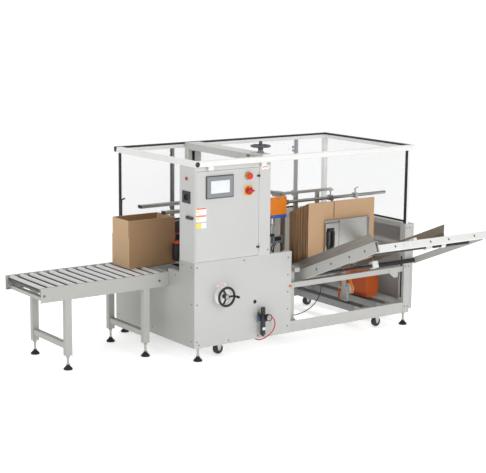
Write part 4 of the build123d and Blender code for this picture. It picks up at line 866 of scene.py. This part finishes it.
# ---------------------------------------------------------------- strap gear
# Orange enamelled housing of the pusher's balancer, painted brackets, the orange strap, and a
# white nylon pulley.
strap_areas = [
    ((1640, 285, 130), (1684, 380, 446), "B4B4B0", 0.45, 0.0),
    ((1684.8, 260, 228), (1712, 445, 450), "DB7A22", 0.5, 0.0),
]
made, tree, shader, coords = material("orange_enamel", "D1622A", 0.35)
colour = blend_colour(tree, spread(tree, noise(tree, coords, 8.0, 3.0), 0.0, 0.3), "D4632A",
    "A8481C")
patches(tree, shader, coords, colour, spread(tree, noise(tree, coords, 70.0), 0.3, 0.45), 0.0,
    strap_areas)
bump(tree, shader, noise(tree, coords, 800.0), 0.15, 0.0004)
dress(made, "strap_gear")
dress(moulded("pulley_white", "DEDEDA", 0.4), "strap_pulley")

# ---------------------------------------------------------------- cartons
# Single wall corrugated kraft board: plain liner with faint flute lines, and darker cut edges that
# show the fluting. The blanks stand folded flat; the erected carton has its top flaps up. On the
# carton, light and shade are painted: the long sides darker, the ends paler, and dark slits at the
# flap corners for the shade in the gaps.


def kraft(name, pitch):
    """Board: liner fibres and flute lines a pitch apart along z; it returns the colour and the
    flute wave, and cut edges are coloured by the caller."""
    made, tree, shader, coords = material(name, "B99A7B", 0.85, Specular_IOR_Level=0.2)
    fibre = noise(tree, coords, 420.0, 4.0, (1, 1, 0.25))
    cloud = noise(tree, coords, 6.0, 3.0)
    colour = blend_colour(tree, spread(tree, fibre, 0.0, 0.35), "C0A080", "A98868")
    colour = blend_colour(tree, spread(tree, cloud, 0.0, 0.3), colour, "AE8E6E")
    split = add(tree, "SeparateXYZ", {0: coords})
    slant = add(tree, "Math", {0: split.outputs[0], 1: split.outputs[1]},
        operation="ADD").outputs[0]
    beat = add(tree, "Math", {0: slant, 1: 2 * math.pi / pitch}, operation="MULTIPLY").outputs[0]
    flute = add(tree, "Math", {0: beat}, operation="SINE").outputs[0]
    line = add(tree, "MapRange", {"Value": flute, "From Min": -1.0, "To Min": 0.0, "To Max": 0.05})
    colour = blend_colour(tree, line.outputs[0], colour, "7E5C3B")
    return made, tree, shader, coords, colour, flute


made, tree, shader, coords, colour, flute = kraft("kraft_blanks", 0.007)
facing = add(tree, "SeparateXYZ", {0: add(tree, "NewGeometry").outputs["Normal"]})
fronting = add(tree, "Math", {0: facing.outputs[1]}, operation="ABSOLUTE").outputs[0]
edge = add(tree, "Math", {0: fronting, 1: 0.5}, operation="LESS_THAN").outputs[0]
sheet_noise = noise(tree, coords, 70.0, 3.0, (0.02, 1.0, 0.05))
ply = add(tree, "MapRange", {"Value": sheet_noise, "From Min": 0.42, "From Max": 0.6})
edge_tone = blend_colour(tree, ply.outputs[0], "4E351F", "A98560")
colour = blend_colour(tree, edge, colour, edge_tone)
tree.links.new(colour, shader.inputs["Base Color"])
bump(tree, shader, flute, 0.15, 0.0004)
dress(made, "blank_stack")
made, tree, shader, coords, colour, flute = kraft("kraft_carton", 0.007)
facing = add(tree, "SeparateXYZ", {0: add(tree, "NewGeometry").outputs["Normal"]})
# Dark slits at the flap corners are painted shade in the gaps between the flaps.
half = 3.5
gap_shadow_masks = [
    inside(tree, coords, (x - half, y - half, 838), (x + half, y + half, 962))
    for x in (-182, 218) for y in (586.5, 831.5)
]
# Painted light and shade: faces that face along y (the long sides) are coloured darker as shaded,
# the others paler as lit.
fronting = add(tree, "Math", {0: facing.outputs[1]}, operation="ABSOLUTE").outputs[0]
long_side_shade_mask = add(tree, "Math", {0: fronting, 1: 0.6}, operation="GREATER_THAN").outputs[0]
painted_lit_colour = blend_colour(tree, 0.5, colour, "DDBF9A")
painted_shade_colour = blend_colour(tree, 0.5, colour, "86623F")
colour = blend_colour(tree, long_side_shade_mask, painted_lit_colour, painted_shade_colour)
for gap_shadow in gap_shadow_masks:
    colour = blend_colour(tree, gap_shadow, colour, "54381F")
tree.links.new(colour, shader.inputs["Base Color"])
bump(tree, shader, flute, 0.15, 0.0004)
dress(made, "erected_carton")

# ---------------------------------------------------------------- sensor cable
# Black sheathed lead from the hopper's crossbar to the base: the frame's own tube with a sheath on.
dress(tube_skin("cable_sheath", "1A1B1D", 0.4, 30.0), "hopper_cable")
